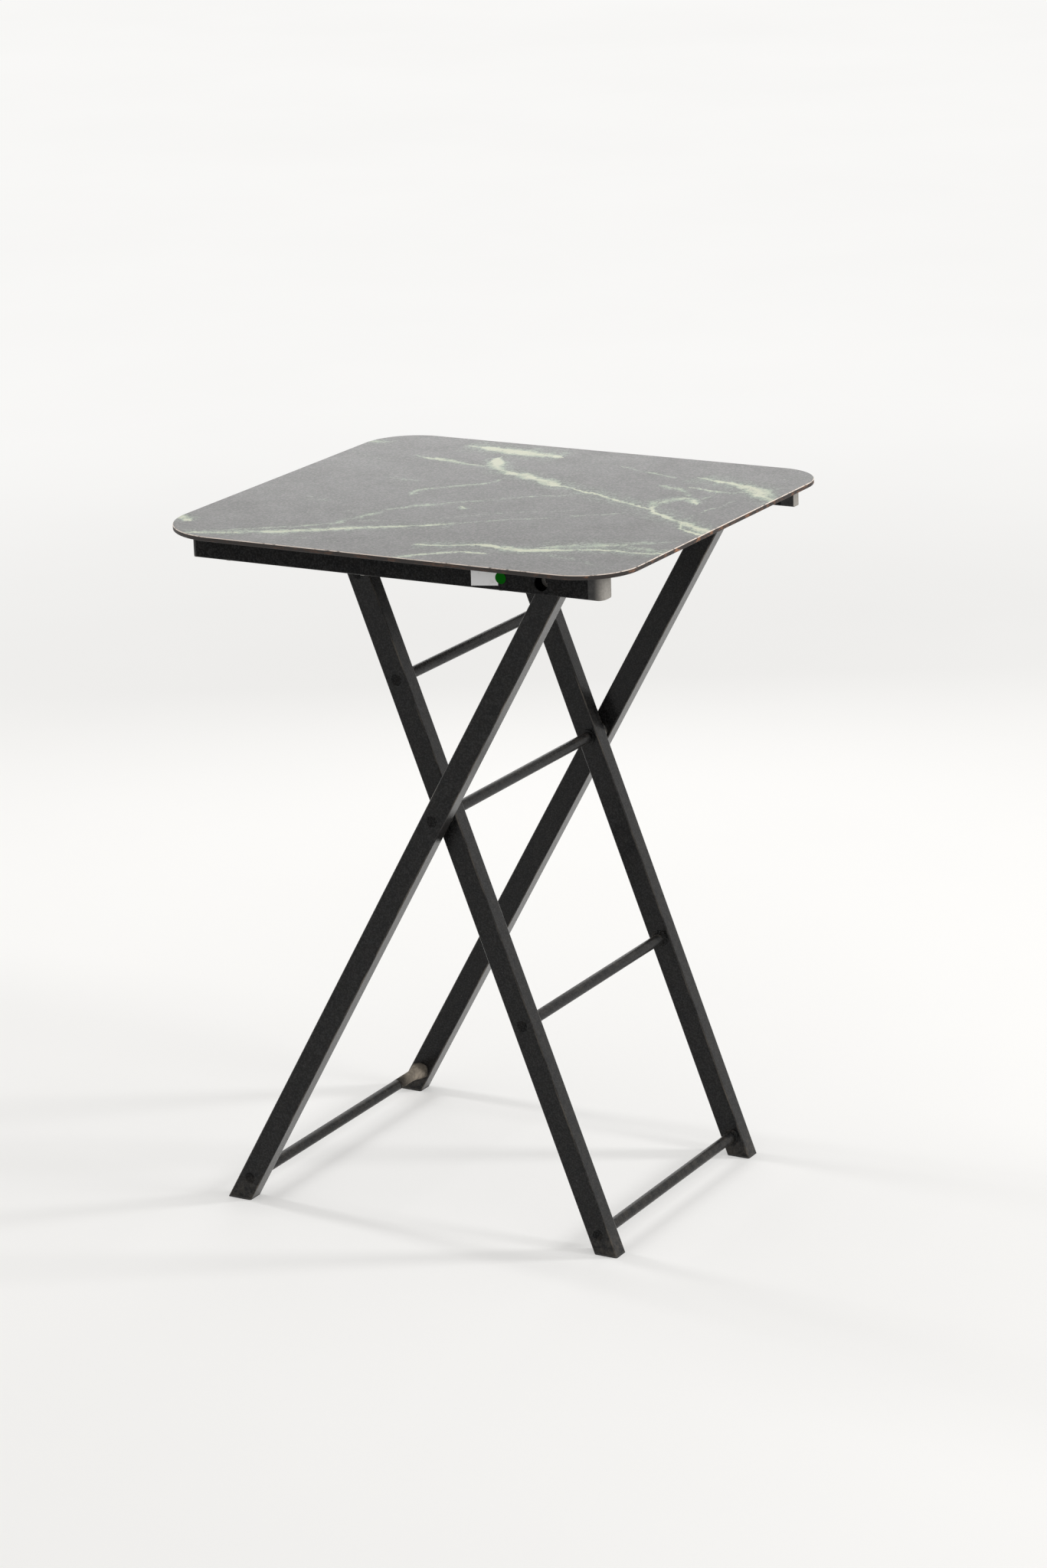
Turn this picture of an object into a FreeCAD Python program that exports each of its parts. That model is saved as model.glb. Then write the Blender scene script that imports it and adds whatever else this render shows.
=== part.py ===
"""Folding side table: laminate top on two rails, and a scissor of two tube leg frames.

Millimetres, +Z up.  The origin is on the floor under the middle of the top.
X runs along the rails, and Y runs from the front rail (-Y) to the rear rail (+Y).
The outer frame carries the scissor shaft and the top's hinge.  The inner frame turns
on the shaft, and its catch bar lies under the top in two hooks.
"""
import FreeCAD, Part
import math
import os

Vec = FreeCAD.Vector

# ---- top panel -------------------------------------------------------------------------
TABLE_HEIGHT = 750.0
TOP_LENGTH = 540.0
TOP_WIDTH = 495.0
TOP_THICK = 5.0
TOP_FREE_FRONT_R = 77.0
TOP_HINGE_FRONT_R = 62.0
TOP_FREE_REAR_R = 58.0
TOP_HINGE_REAR_R = 54.0
TOP_ARRIS = 0.5

# ---- rectangular tube, the same for legs and rails -------------------------------------
TUBE_FACE = 25.0
TUBE_DEPTH = 20.0
TUBE_WALL = 1.5
TUBE_CORNER_R = 2.0

# ---- along the rails, measured in from the ends of the top -----------------------------
RAIL_FREE_INSET = 43.5
RAIL_HINGE_INSET = 22.5
HINGE_INSET = 90.0
OUTER_FOOT_INSET = 34.7
INNER_FOOT_INSET = 71.8

# ---- across the table: each frame stands inside the last --------------------------------
RAIL_SIDE_INSET = 25.5
HINGE_GAP = 12.4
PIVOT_GAP = 7.1
HOOK_FROM_LEG = 22.4

# ---- heights ----------------------------------------------------------------------------
PIVOT_HEIGHT = 458.0
HINGE_DROP = 13.5
CATCH_DROP = 40.6

# ---- round bar: rungs, catch bar and scissor shaft --------------------------------------
BAR_R = 6.0
OUTER_RUNG_ALONG = 29.8
BOTTOM_RUNG_ALONG = 23.6
LOWER_RUNG_ALONG = 256.2
UPPER_RUNG_ALONG = 636.5
LEG_BEYOND_CATCH = 17.0

# ---- plugs and caps ---------------------------------------------------------------------
FOOT_FLANGE = 2.0
PLUG_HEAD = 2.0
PLUG_MARGIN = 1.0
TOP_PLUG_TAIL = 22.0
NOSE_LENGTH = 15.0
NOSE_R = 10.0
CAP_HEAD = 2.5
CAP_SPIGOT = 14.0

# ---- scissor shaft fittings -------------------------------------------------------------
SPACER_R = 10.0
KEEPER_R = 9.0
KEEPER_THICK = 1.5

# ---- hinge bolts ------------------------------------------------------------------------
ACCESS_HOLE_R = 7.5
BOLT_R = 4.0
BOLT_HEAD_R = 6.5
BOLT_HEAD_HIGH = 5.0
BOLT_SOCKET_FLATS = 5.0
BOLT_SOCKET_DEEP = 2.6
SLEEVE_R = 8.0
NUT_FLATS = 13.0
NUT_HIGH = 6.5
NUT_CHAMFER = 0.7
BOLT_TIP = 1.5

# ---- catch hooks ------------------------------------------------------------------------
HOOK_SHEET = 3.0
HOOK_BEND_R = 1.5
HOOK_FLANGE = 25.0
HOOK_SLOPE_DEG = 25.0
HOOK_LIP_WIDE = 9.0
HOOK_LIP_DROP = 8.0
HOOK_AHEAD = 12.0

# ---- named clearances -------------------------------------------------------------------
RUNNING_FIT = 0.08
WELD_FIT = 0.05
THREAD_FIT = 0.05
PLUG_FIT = 0.1
SIDE_PLAY = 0.2
CATCH_PLAY = 0.3

# ---- derived: along the rails and up ----------------------------------------------------
UNDERSIDE = TABLE_HEIGHT - TOP_THICK
RAIL_FREE_X = RAIL_FREE_INSET - TOP_LENGTH / 2
RAIL_HINGE_X = TOP_LENGTH / 2 - RAIL_HINGE_INSET
OUTER_FOOT_X = OUTER_FOOT_INSET - TOP_LENGTH / 2
INNER_FOOT_X = TOP_LENGTH / 2 - INNER_FOOT_INSET
HINGE_X = TOP_LENGTH / 2 - HINGE_INSET
HINGE_Z = UNDERSIDE - HINGE_DROP
CATCH_Z = UNDERSIDE - CATCH_DROP

# ---- derived: across the table ----------------------------------------------------------
RAIL_OUT = TOP_WIDTH / 2 - RAIL_SIDE_INSET
RAIL_IN = RAIL_OUT - TUBE_DEPTH
RAIL_MID = (RAIL_OUT + RAIL_IN) / 2
OUTER_OUT = RAIL_IN - HINGE_GAP
OUTER_IN = OUTER_OUT - TUBE_DEPTH
OUTER_MID = (OUTER_OUT + OUTER_IN) / 2
INNER_OUT = OUTER_IN - PIVOT_GAP
INNER_IN = INNER_OUT - TUBE_DEPTH
INNER_MID = (INNER_OUT + INNER_IN) / 2
HOOK_Y = INNER_IN - HOOK_FROM_LEG

# ---- derived: the lines of the two frames, as lengths along a leg from the floor -----------
OUTER_TILT = math.atan2(HINGE_X - OUTER_FOOT_X, HINGE_Z)
HINGE_ALONG = HINGE_Z / math.cos(OUTER_TILT)
OUTER_PIVOT_ALONG = PIVOT_HEIGHT / math.cos(OUTER_TILT)
PIVOT_X = OUTER_FOOT_X + PIVOT_HEIGHT * math.tan(OUTER_TILT)
INNER_TILT = math.atan2(PIVOT_X - INNER_FOOT_X, PIVOT_HEIGHT)
INNER_PIVOT_ALONG = PIVOT_HEIGHT / math.cos(INNER_TILT)
CATCH_ALONG = CATCH_Z / math.cos(INNER_TILT)
CATCH_X = INNER_FOOT_X + CATCH_ALONG * math.sin(INNER_TILT)
INNER_END_ALONG = CATCH_ALONG + LEG_BEYOND_CATCH
BELOW_FLOOR = -TUBE_FACE


# ---- placing ------------------------------------------------------------------------------
def on_outer(shape):
    """Place a shape made along +Z on the line of the outer frame."""
    shape.rotate(Vec(0, 0, 0), Vec(0, 1, 0), math.degrees(OUTER_TILT))
    shape.translate(Vec(OUTER_FOOT_X, 0, 0))
    return shape


def on_inner(shape):
    """Place a shape made along +Z on the line of the inner frame."""
    shape.rotate(Vec(0, 0, 0), Vec(0, 1, 0), math.degrees(INNER_TILT))
    shape.translate(Vec(INNER_FOOT_X, 0, 0))
    return shape


def on_rail(shape):
    """Turn a shape made along +Z so that it runs along +X in the front rail's place."""
    shape.rotate(Vec(0, 0, 0), Vec(0, 1, 0), 90)
    shape.translate(Vec(0, -RAIL_MID, UNDERSIDE - TUBE_FACE / 2))
    return shape


def mirrored(shape):
    """Return the rear piece that matches a front piece."""
    return shape.mirror(Vec(0, 0, 0), Vec(0, 1, 0))


def front_and_rear(shape):
    """Two like pieces as separate solids in one shape."""
    return Part.makeCompound([shape, mirrored(shape)])


# ---- general shapes -------------------------------------------------------------------------
def bar_y(x, z, y_from, y_to, radius):
    """Round bar along Y."""
    return Part.makeCylinder(radius, y_to - y_from, Vec(x, y_from, z), Vec(0, 1, 0))


def ring_y(x, z, y_from, y_to, radius, bore):
    """Washer or sleeve along Y."""
    return bar_y(x, z, y_from, y_to, radius).cut(bar_y(x, z, y_from, y_to, bore))


def is_line_at(edge, **place):
    """True for an edge whose ends both lie at the given X, Y or Z."""
    ends = edge.Vertexes
    return all(abs(getattr(v, axis) - at) < 1e-6 for v in ends for axis, at in place.items())


def upright_edges(box):
    """Edges of a box that run along Z."""
    return [e for e in box.Edges if abs(e.Vertexes[0].Z - e.Vertexes[1].Z) > 1e-6]


def tube_solid(z_from, z_to, y_mid=0.0):
    """Outline of the rectangular tube, filled, along +Z."""
    low = Vec(-TUBE_FACE / 2, y_mid - TUBE_DEPTH / 2, z_from)
    box = Part.makeBox(TUBE_FACE, TUBE_DEPTH, z_to - z_from, low)
    return box.makeFillet(TUBE_CORNER_R, upright_edges(box))


def tube_bore(z_from, z_to, y_mid=0.0, fit=0.0):
    """Inside of the rectangular tube, made smaller by fit all round."""
    size_x = TUBE_FACE - 2 * (TUBE_WALL + fit)
    size_y = TUBE_DEPTH - 2 * (TUBE_WALL + fit)
    return Part.makeBox(size_x, size_y, z_to - z_from, Vec(-size_x / 2, y_mid - size_y / 2, z_from))


def tube(z_from, z_to, y_mid=0.0):
    """Rectangular tube along +Z."""
    return tube_solid(z_from, z_to, y_mid).cut(tube_bore(z_from, z_to, y_mid))


def slab(z_from, z_to):
    """Level slice of space that covers the whole table."""
    reach = TOP_LENGTH + TABLE_HEIGHT
    return Part.makeBox(2 * reach, 2 * reach, z_to - z_from, Vec(-reach, -reach, z_from))


def polyline(points):
    """Straight edges through the points."""
    return [Part.makeLine(a, b) for a, b in zip(points[:-1], points[1:])]


def prism_y(edges, y_from, y_to):
    """Extrude a closed outline drawn at Y = 0 from y_from to y_to."""
    face = Part.Face(Part.Wire(edges))
    face.translate(Vec(0, y_from, 0))
    return face.extrude(Vec(0, y_to - y_from, 0))


def hexagon_y(flats, x, z, y_from, y_to):
    """Hexagonal prism along Y, measured across its flats."""
    corner_r = flats / math.sqrt(3)
    turns = [math.radians(60 * k) for k in range(7)]
    points = [Vec(x + corner_r * math.cos(t), 0, z + corner_r * math.sin(t)) for t in turns]
    return prism_y(polyline(points), y_from, y_to)


def round_ended(half_width, z_from, z_centre, y_from, y_to):
    """Flat bar along Z that ends in a half round about z_centre."""
    side = [Vec(half_width, 0, z_centre), Vec(half_width, 0, z_from)]
    side += [Vec(-half_width, 0, z_from), Vec(-half_width, 0, z_centre)]
    top = Part.Arc(side[-1], Vec(0, 0, z_centre + half_width), side[0]).toShape()
    return prism_y(polyline(side) + [top], y_from, y_to)


# ---- legs -----------------------------------------------------------------------------------
def drill_through(leg, along, y_mid, radius):
    """Hole along Y through both walls of a leg."""
    return leg.cut(bar_y(0, along, y_mid - TUBE_DEPTH, y_mid + TUBE_DEPTH, radius))


def drill_inside(leg, along, y_mid, radius):
    """Hole along Y through the wall that faces the middle of the table."""
    return leg.cut(bar_y(0, along, y_mid, y_mid + TUBE_DEPTH, radius))


def outer_leg_front():
    """Outer leg: level foot, and a half round top about the hinge bolt's hole."""
    top = HINGE_ALONG + TUBE_FACE / 2
    leg = tube(BELOW_FLOOR, top, -OUTER_MID)
    leg = leg.common(round_ended(TUBE_FACE / 2, BELOW_FLOOR, HINGE_ALONG, -OUTER_OUT, -OUTER_IN))
    leg = drill_through(leg, HINGE_ALONG, -OUTER_MID, BOLT_R + RUNNING_FIT)
    for along in (OUTER_PIVOT_ALONG, OUTER_RUNG_ALONG):
        leg = drill_inside(leg, along, -OUTER_MID, BAR_R + WELD_FIT)
    return on_outer(leg).common(slab(FOOT_FLANGE, TABLE_HEIGHT))


def inner_leg_front():
    """Inner leg: level foot, square top, and a running hole for the scissor shaft."""
    leg = tube(BELOW_FLOOR, INNER_END_ALONG - PLUG_HEAD, -INNER_MID)
    leg = drill_through(leg, INNER_PIVOT_ALONG, -INNER_MID, BAR_R + RUNNING_FIT)
    for along in (BOTTOM_RUNG_ALONG, LOWER_RUNG_ALONG, UPPER_RUNG_ALONG, CATCH_ALONG):
        leg = drill_inside(leg, along, -INNER_MID, BAR_R + WELD_FIT)
    return on_inner(leg).common(slab(FOOT_FLANGE, TABLE_HEIGHT))


def foot_plug(place, y_mid, tilt, rung_along):
    """Moulded foot: flange under the tube's level cut, and a spigot up to the rung."""
    spigot_top = rung_along * math.cos(tilt) - BAR_R - PLUG_MARGIN
    flange = place(tube_solid(BELOW_FLOOR, TUBE_FACE, y_mid)).common(slab(0, FOOT_FLANGE))
    spigot = place(tube_bore(BELOW_FLOOR, 2 * TUBE_FACE, y_mid, PLUG_FIT))
    return flange.fuse(spigot.common(slab(FOOT_FLANGE, spigot_top))).removeSplitter()


def outer_foot_plug_front():
    """Foot of the outer leg."""
    return foot_plug(on_outer, -OUTER_MID, OUTER_TILT, OUTER_RUNG_ALONG)


def inner_foot_plug_front():
    """Foot of the inner leg."""
    return foot_plug(on_inner, -INNER_MID, INNER_TILT, BOTTOM_RUNG_ALONG)


def outer_top_plug_front():
    """Plug in the outer leg's round top, bored for the hinge bolt."""
    tail = HINGE_ALONG - TOP_PLUG_TAIL
    half_width = TUBE_FACE / 2 - TUBE_WALL - PLUG_FIT
    half_depth = TUBE_DEPTH / 2 - TUBE_WALL - PLUG_FIT
    y_from = -OUTER_MID - half_depth
    plug = round_ended(half_width, tail, HINGE_ALONG, y_from, y_from + 2 * half_depth)
    return on_outer(drill_through(plug, HINGE_ALONG, -OUTER_MID, BOLT_R + SIDE_PLAY))


def inner_top_plug_front():
    """Flat plug in the square top of the inner leg, clear of the catch bar."""
    tube_end = INNER_END_ALONG - PLUG_HEAD
    spigot_end = CATCH_ALONG + BAR_R + PLUG_MARGIN
    head = tube_solid(tube_end, INNER_END_ALONG, -INNER_MID)
    spigot = tube_bore(spigot_end, tube_end, -INNER_MID, PLUG_FIT)
    return on_inner(head.fuse(spigot).removeSplitter())


# ---- rungs and the scissor shaft ------------------------------------------------------------
def rung(place, along, leg_out):
    """Bar let into both legs through their inner walls, ending on their outer walls."""
    half_length = leg_out - TUBE_WALL
    return place(bar_y(0, along, -half_length, half_length, BAR_R))


def pivot_spacers():
    """Sleeves on the shaft that keep the inner legs off the outer legs."""
    bore = BAR_R + WELD_FIT
    y_to = -INNER_OUT - SIDE_PLAY
    spacer = ring_y(0, OUTER_PIVOT_ALONG, -OUTER_IN, y_to, SPACER_R, bore)
    return front_and_rear(on_outer(spacer))


def pivot_keepers():
    """Washers tacked to the shaft inside the inner legs, which stop them sliding in."""
    bore = BAR_R + WELD_FIT
    y_from = -INNER_IN + SIDE_PLAY
    keeper = ring_y(0, OUTER_PIVOT_ALONG, y_from, y_from + KEEPER_THICK, KEEPER_R, bore)
    return front_and_rear(on_outer(keeper))


# ---- rails ----------------------------------------------------------------------------------
def rail_front():
    """Rail tube: wide access hole outside, and the hinge bolt's hole inside."""
    rail = on_rail(tube(RAIL_FREE_X + CAP_HEAD, RAIL_HINGE_X - NOSE_LENGTH))
    rail = rail.cut(bar_y(HINGE_X, HINGE_Z, -RAIL_OUT - TUBE_WALL, -RAIL_MID, ACCESS_HOLE_R))
    return rail.cut(bar_y(HINGE_X, HINGE_Z, -RAIL_MID, -RAIL_IN + TUBE_WALL, BOLT_R + WELD_FIT))


def rail_nose_front():
    """Moulded end on the hinge side of the rail, with its outer corner rounded."""
    x_from = RAIL_HINGE_X - NOSE_LENGTH
    low = Vec(x_from, -RAIL_OUT, UNDERSIDE - TUBE_FACE)
    plan = Part.makeBox(NOSE_LENGTH, TUBE_DEPTH, TUBE_FACE, low)
    corner = [e for e in plan.Edges if is_line_at(e, X=RAIL_HINGE_X, Y=-RAIL_OUT)]
    head = on_rail(tube_solid(x_from, RAIL_HINGE_X)).common(plan.makeFillet(NOSE_R, corner))
    spigot = on_rail(tube_bore(x_from - CAP_SPIGOT, x_from, 0, PLUG_FIT))
    return head.fuse(spigot).removeSplitter()


def rail_cap_front():
    """Flat cap on the free end of the rail."""
    x_to = RAIL_FREE_X + CAP_HEAD
    head = on_rail(tube_solid(RAIL_FREE_X, x_to))
    spigot = on_rail(tube_bore(x_to, x_to + CAP_SPIGOT, 0, PLUG_FIT))
    return head.fuse(spigot).removeSplitter()


# ---- top panel ------------------------------------------------------------------------------
def tabletop_panel():
    """Compact laminate panel with eased arrises; each of its corners has its own radius."""
    half_x, half_y = TOP_LENGTH / 2, TOP_WIDTH / 2
    panel = Part.makeBox(TOP_LENGTH, TOP_WIDTH, TOP_THICK, Vec(-half_x, -half_y, UNDERSIDE))
    corners = ((-half_x, -half_y, TOP_FREE_FRONT_R), (half_x, -half_y, TOP_HINGE_FRONT_R),
               (-half_x, half_y, TOP_FREE_REAR_R), (half_x, half_y, TOP_HINGE_REAR_R))
    for x, y, radius in corners:
        panel = panel.makeFillet(radius, [e for e in panel.Edges if is_line_at(e, X=x, Y=y)])
    rims = [e for e in panel.Edges if e.BoundBox.ZLength < TOP_ARRIS]
    return panel.makeChamfer(TOP_ARRIS, rims)


# ---- catch hooks ----------------------------------------------------------------------------
def hook_outline():
    """Side view of a hook: lip, round notch, and a throat that rises toward the hinge."""
    notch_r = BAR_R + CATCH_PLAY
    slope = math.radians(HOOK_SLOPE_DEG)
    half = (math.pi / 2 + slope) / 2
    seat = Vec(CATCH_X - notch_r * math.sin(slope), 0, CATCH_Z + notch_r * math.cos(slope))
    notch = Vec(CATCH_X - notch_r * math.sin(half), 0, CATCH_Z + notch_r * math.cos(half))
    lip_in = CATCH_X - notch_r
    lip_out = lip_in - HOOK_LIP_WIDE
    lip_low = CATCH_Z - HOOK_LIP_DROP
    lip_end = Vec((lip_in + lip_out) / 2, 0, lip_low - HOOK_LIP_WIDE / 2)
    ahead = CATCH_X + HOOK_AHEAD
    throat = Vec(ahead, 0, seat.z + (ahead - seat.x) * math.tan(slope))
    inside = [Vec(lip_in, 0, CATCH_Z), Vec(lip_in, 0, lip_low)]
    outside = [Vec(lip_out, 0, lip_low), Vec(lip_out, 0, UNDERSIDE), Vec(ahead, 0, UNDERSIDE)]
    arcs = [Part.Arc(seat, notch, inside[0]), Part.Arc(inside[1], lip_end, outside[0])]
    edges = [arcs[0].toShape()] + polyline(inside) + [arcs[1].toShape()]
    return edges + polyline(outside + [throat, seat])


def bent_angle(x_from, x_to, drop):
    """Sheet angle along X: flange under the top, leaf hanging at the hook's place."""
    leaf = Part.makeBox(x_to - x_from, HOOK_SHEET, drop, Vec(x_from, -HOOK_Y, UNDERSIDE - drop))
    flange_low = Vec(x_from, -HOOK_Y, UNDERSIDE - HOOK_SHEET)
    flange = Part.makeBox(x_to - x_from, HOOK_FLANGE, HOOK_SHEET, flange_low)
    angle = leaf.fuse(flange).removeSplitter()
    outer_bend = [e for e in angle.Edges if is_line_at(e, Y=-HOOK_Y, Z=UNDERSIDE)]
    angle = angle.makeFillet(HOOK_BEND_R + HOOK_SHEET, outer_bend)
    crook = {"Y": HOOK_SHEET - HOOK_Y, "Z": UNDERSIDE - HOOK_SHEET}
    inner_bend = [e for e in angle.Edges if is_line_at(e, **crook)]
    return angle.makeFillet(HOOK_BEND_R, inner_bend)


def catch_hook_front():
    """Bent sheet bracket under the top, its upright leaf cut as a hook for the bar."""
    x_from = CATCH_X - BAR_R - CATCH_PLAY - HOOK_LIP_WIDE
    drop = CATCH_DROP + HOOK_LIP_DROP + HOOK_LIP_WIDE
    angle = bent_angle(x_from, CATCH_X + HOOK_AHEAD, drop)
    return angle.common(prism_y(hook_outline(), -HOOK_Y - HOOK_SHEET, HOOK_FLANGE))


# ---- hinge ----------------------------------------------------------------------------------
def hinge_bolts():
    """Socket screws whose heads sit inside the rails, against the rails' inner walls."""
    seat = -RAIL_IN - TUBE_WALL
    head_end = seat - BOLT_HEAD_HIGH
    tip = -OUTER_IN + SIDE_PLAY + NUT_HIGH + BOLT_TIP
    head = bar_y(HINGE_X, HINGE_Z, head_end, seat, BOLT_HEAD_R)
    socket_end = head_end + BOLT_SOCKET_DEEP
    socket = hexagon_y(BOLT_SOCKET_FLATS, HINGE_X, HINGE_Z, head_end, socket_end)
    shank = bar_y(HINGE_X, HINGE_Z, seat, tip, BOLT_R)
    return front_and_rear(head.cut(socket).fuse(shank).removeSplitter())


def hinge_sleeves():
    """Spacer sleeves between the rails and the outer legs."""
    bore = BOLT_R + WELD_FIT
    y_to = -OUTER_OUT - SIDE_PLAY
    return front_and_rear(ring_y(HINGE_X, HINGE_Z, -RAIL_IN, y_to, SLEEVE_R, bore))


def hinge_nuts():
    """Lock nuts on the hinge bolts, chamfered on the side away from the leg."""
    y_from = -OUTER_IN + SIDE_PLAY
    nut = hexagon_y(NUT_FLATS, HINGE_X, HINGE_Z, y_from, y_from + NUT_HIGH)
    corner_r = NUT_FLATS / math.sqrt(3)
    seat = Vec(HINGE_X, y_from, HINGE_Z)
    wide = corner_r - NUT_CHAMFER + NUT_HIGH
    nut = nut.common(Part.makeCone(wide, corner_r - NUT_CHAMFER, NUT_HIGH, seat, Vec(0, 1, 0)))
    thread = bar_y(HINGE_X, HINGE_Z, y_from, y_from + NUT_HIGH, BOLT_R + THREAD_FIT)
    return front_and_rear(nut.cut(thread))


# ---- the whole table ------------------------------------------------------------------------
SIDE_PIECES = {
    "outer_leg": outer_leg_front,
    "outer_foot_plug": outer_foot_plug_front,
    "outer_top_plug": outer_top_plug_front,
    "inner_leg": inner_leg_front,
    "inner_foot_plug": inner_foot_plug_front,
    "inner_top_plug": inner_top_plug_front,
    "rail": rail_front,
    "rail_nose": rail_nose_front,
    "rail_cap": rail_cap_front,
    "catch_hook": catch_hook_front,
}


def side_nodes():
    """Pieces with a front one and a mirrored rear one, each in its own node."""
    nodes = {}
    for name, build in SIDE_PIECES.items():
        front = build()
        nodes[name + "_front"] = front
        nodes[name + "_rear"] = mirrored(front)
    return nodes


def middle_nodes():
    """Pieces that span the table, and pairs that share a node."""
    return {
        "pivot_shaft": rung(on_outer, OUTER_PIVOT_ALONG, OUTER_OUT),
        "pivot_spacers": pivot_spacers(),
        "pivot_keepers": pivot_keepers(),
        "outer_bottom_rung": rung(on_outer, OUTER_RUNG_ALONG, OUTER_OUT),
        "inner_bottom_rung": rung(on_inner, BOTTOM_RUNG_ALONG, INNER_OUT),
        "lower_rung": rung(on_inner, LOWER_RUNG_ALONG, INNER_OUT),
        "upper_rung": rung(on_inner, UPPER_RUNG_ALONG, INNER_OUT),
        "catch_bar": rung(on_inner, CATCH_ALONG, INNER_OUT),
        "hinge_bolts": hinge_bolts(),
        "hinge_sleeves": hinge_sleeves(),
        "hinge_nuts": hinge_nuts(),
        "tabletop_panel": tabletop_panel(),
    }


def main():
    """Write one STEP file per node."""
    os.makedirs("parts", exist_ok=True)
    nodes = side_nodes()
    nodes.update(middle_nodes())
    for name, shape in nodes.items():
        shape.exportStep(os.path.join("parts", name + ".step"))


main()
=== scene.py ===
"""Folding side table: finishes, welds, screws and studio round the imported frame.

Metres, +Z up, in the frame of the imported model.
"""
import logging
import math
from dataclasses import dataclass
from enum import Enum
from typing import Sequence, Union

import bmesh
import bpy
from mathutils import Matrix, Vector, noise


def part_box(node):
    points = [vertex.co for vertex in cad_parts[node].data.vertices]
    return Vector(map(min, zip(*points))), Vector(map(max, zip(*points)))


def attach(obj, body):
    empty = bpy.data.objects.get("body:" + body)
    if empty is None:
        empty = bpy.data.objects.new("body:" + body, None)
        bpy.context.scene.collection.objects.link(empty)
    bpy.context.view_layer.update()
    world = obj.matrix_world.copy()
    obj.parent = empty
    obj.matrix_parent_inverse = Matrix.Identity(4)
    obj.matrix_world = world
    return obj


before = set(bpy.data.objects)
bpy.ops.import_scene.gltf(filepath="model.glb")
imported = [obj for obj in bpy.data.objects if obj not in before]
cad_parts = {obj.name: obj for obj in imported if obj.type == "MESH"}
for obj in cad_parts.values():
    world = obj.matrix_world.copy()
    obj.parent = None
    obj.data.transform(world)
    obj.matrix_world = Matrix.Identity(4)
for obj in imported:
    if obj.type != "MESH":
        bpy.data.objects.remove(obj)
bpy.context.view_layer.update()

LOG = logging.getLogger("folding_table")
MM = 0.001
OUTER_LEAN = math.radians(29.585)
INNER_LEAN = math.radians(-20.745)
WHOLE_TURN = 2 * math.pi
SHARP_EDGE = math.radians(42)
# A Mix node's sockets by number: factor, first and second going in, and the mix coming out.
MIX_COLOUR_IN, MIX_COLOUR_OUT = (0, 6, 7), 2
MIX_NUMBER_IN, MIX_NUMBER_OUT = (0, 2, 3), 0

Socket = bpy.types.NodeSocket
Source = Union[float, Sequence[float], Socket]
Colour = tuple[float, float, float]
Point = tuple[float, float, float]
Loop = list[bmesh.types.BMVert]
Grid = list[Loop]


class Slot(Enum):
    """Material slots of the record."""

    LAMINATE = "laminate"
    COAT = "powder_coat"
    ZINC = "zinc_steel"


class Body(Enum):
    """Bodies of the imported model."""

    OUTER = "outer_frame"
    INNER = "inner_frame"
    TOP = "tabletop"


class Side(Enum):
    """Front or rear half of the table, as the sign of Y."""

    FRONT = -1
    REAR = 1

    @property
    def word(self) -> str:
        """Ending used in the names of pieces."""
        return self.name.lower()


class Tone(Enum):
    """How strongly a vein is printed."""

    PALE = 1.0
    GREEN = 0.62
    SOFT = 0.42
    FAINT = 0.24


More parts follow.
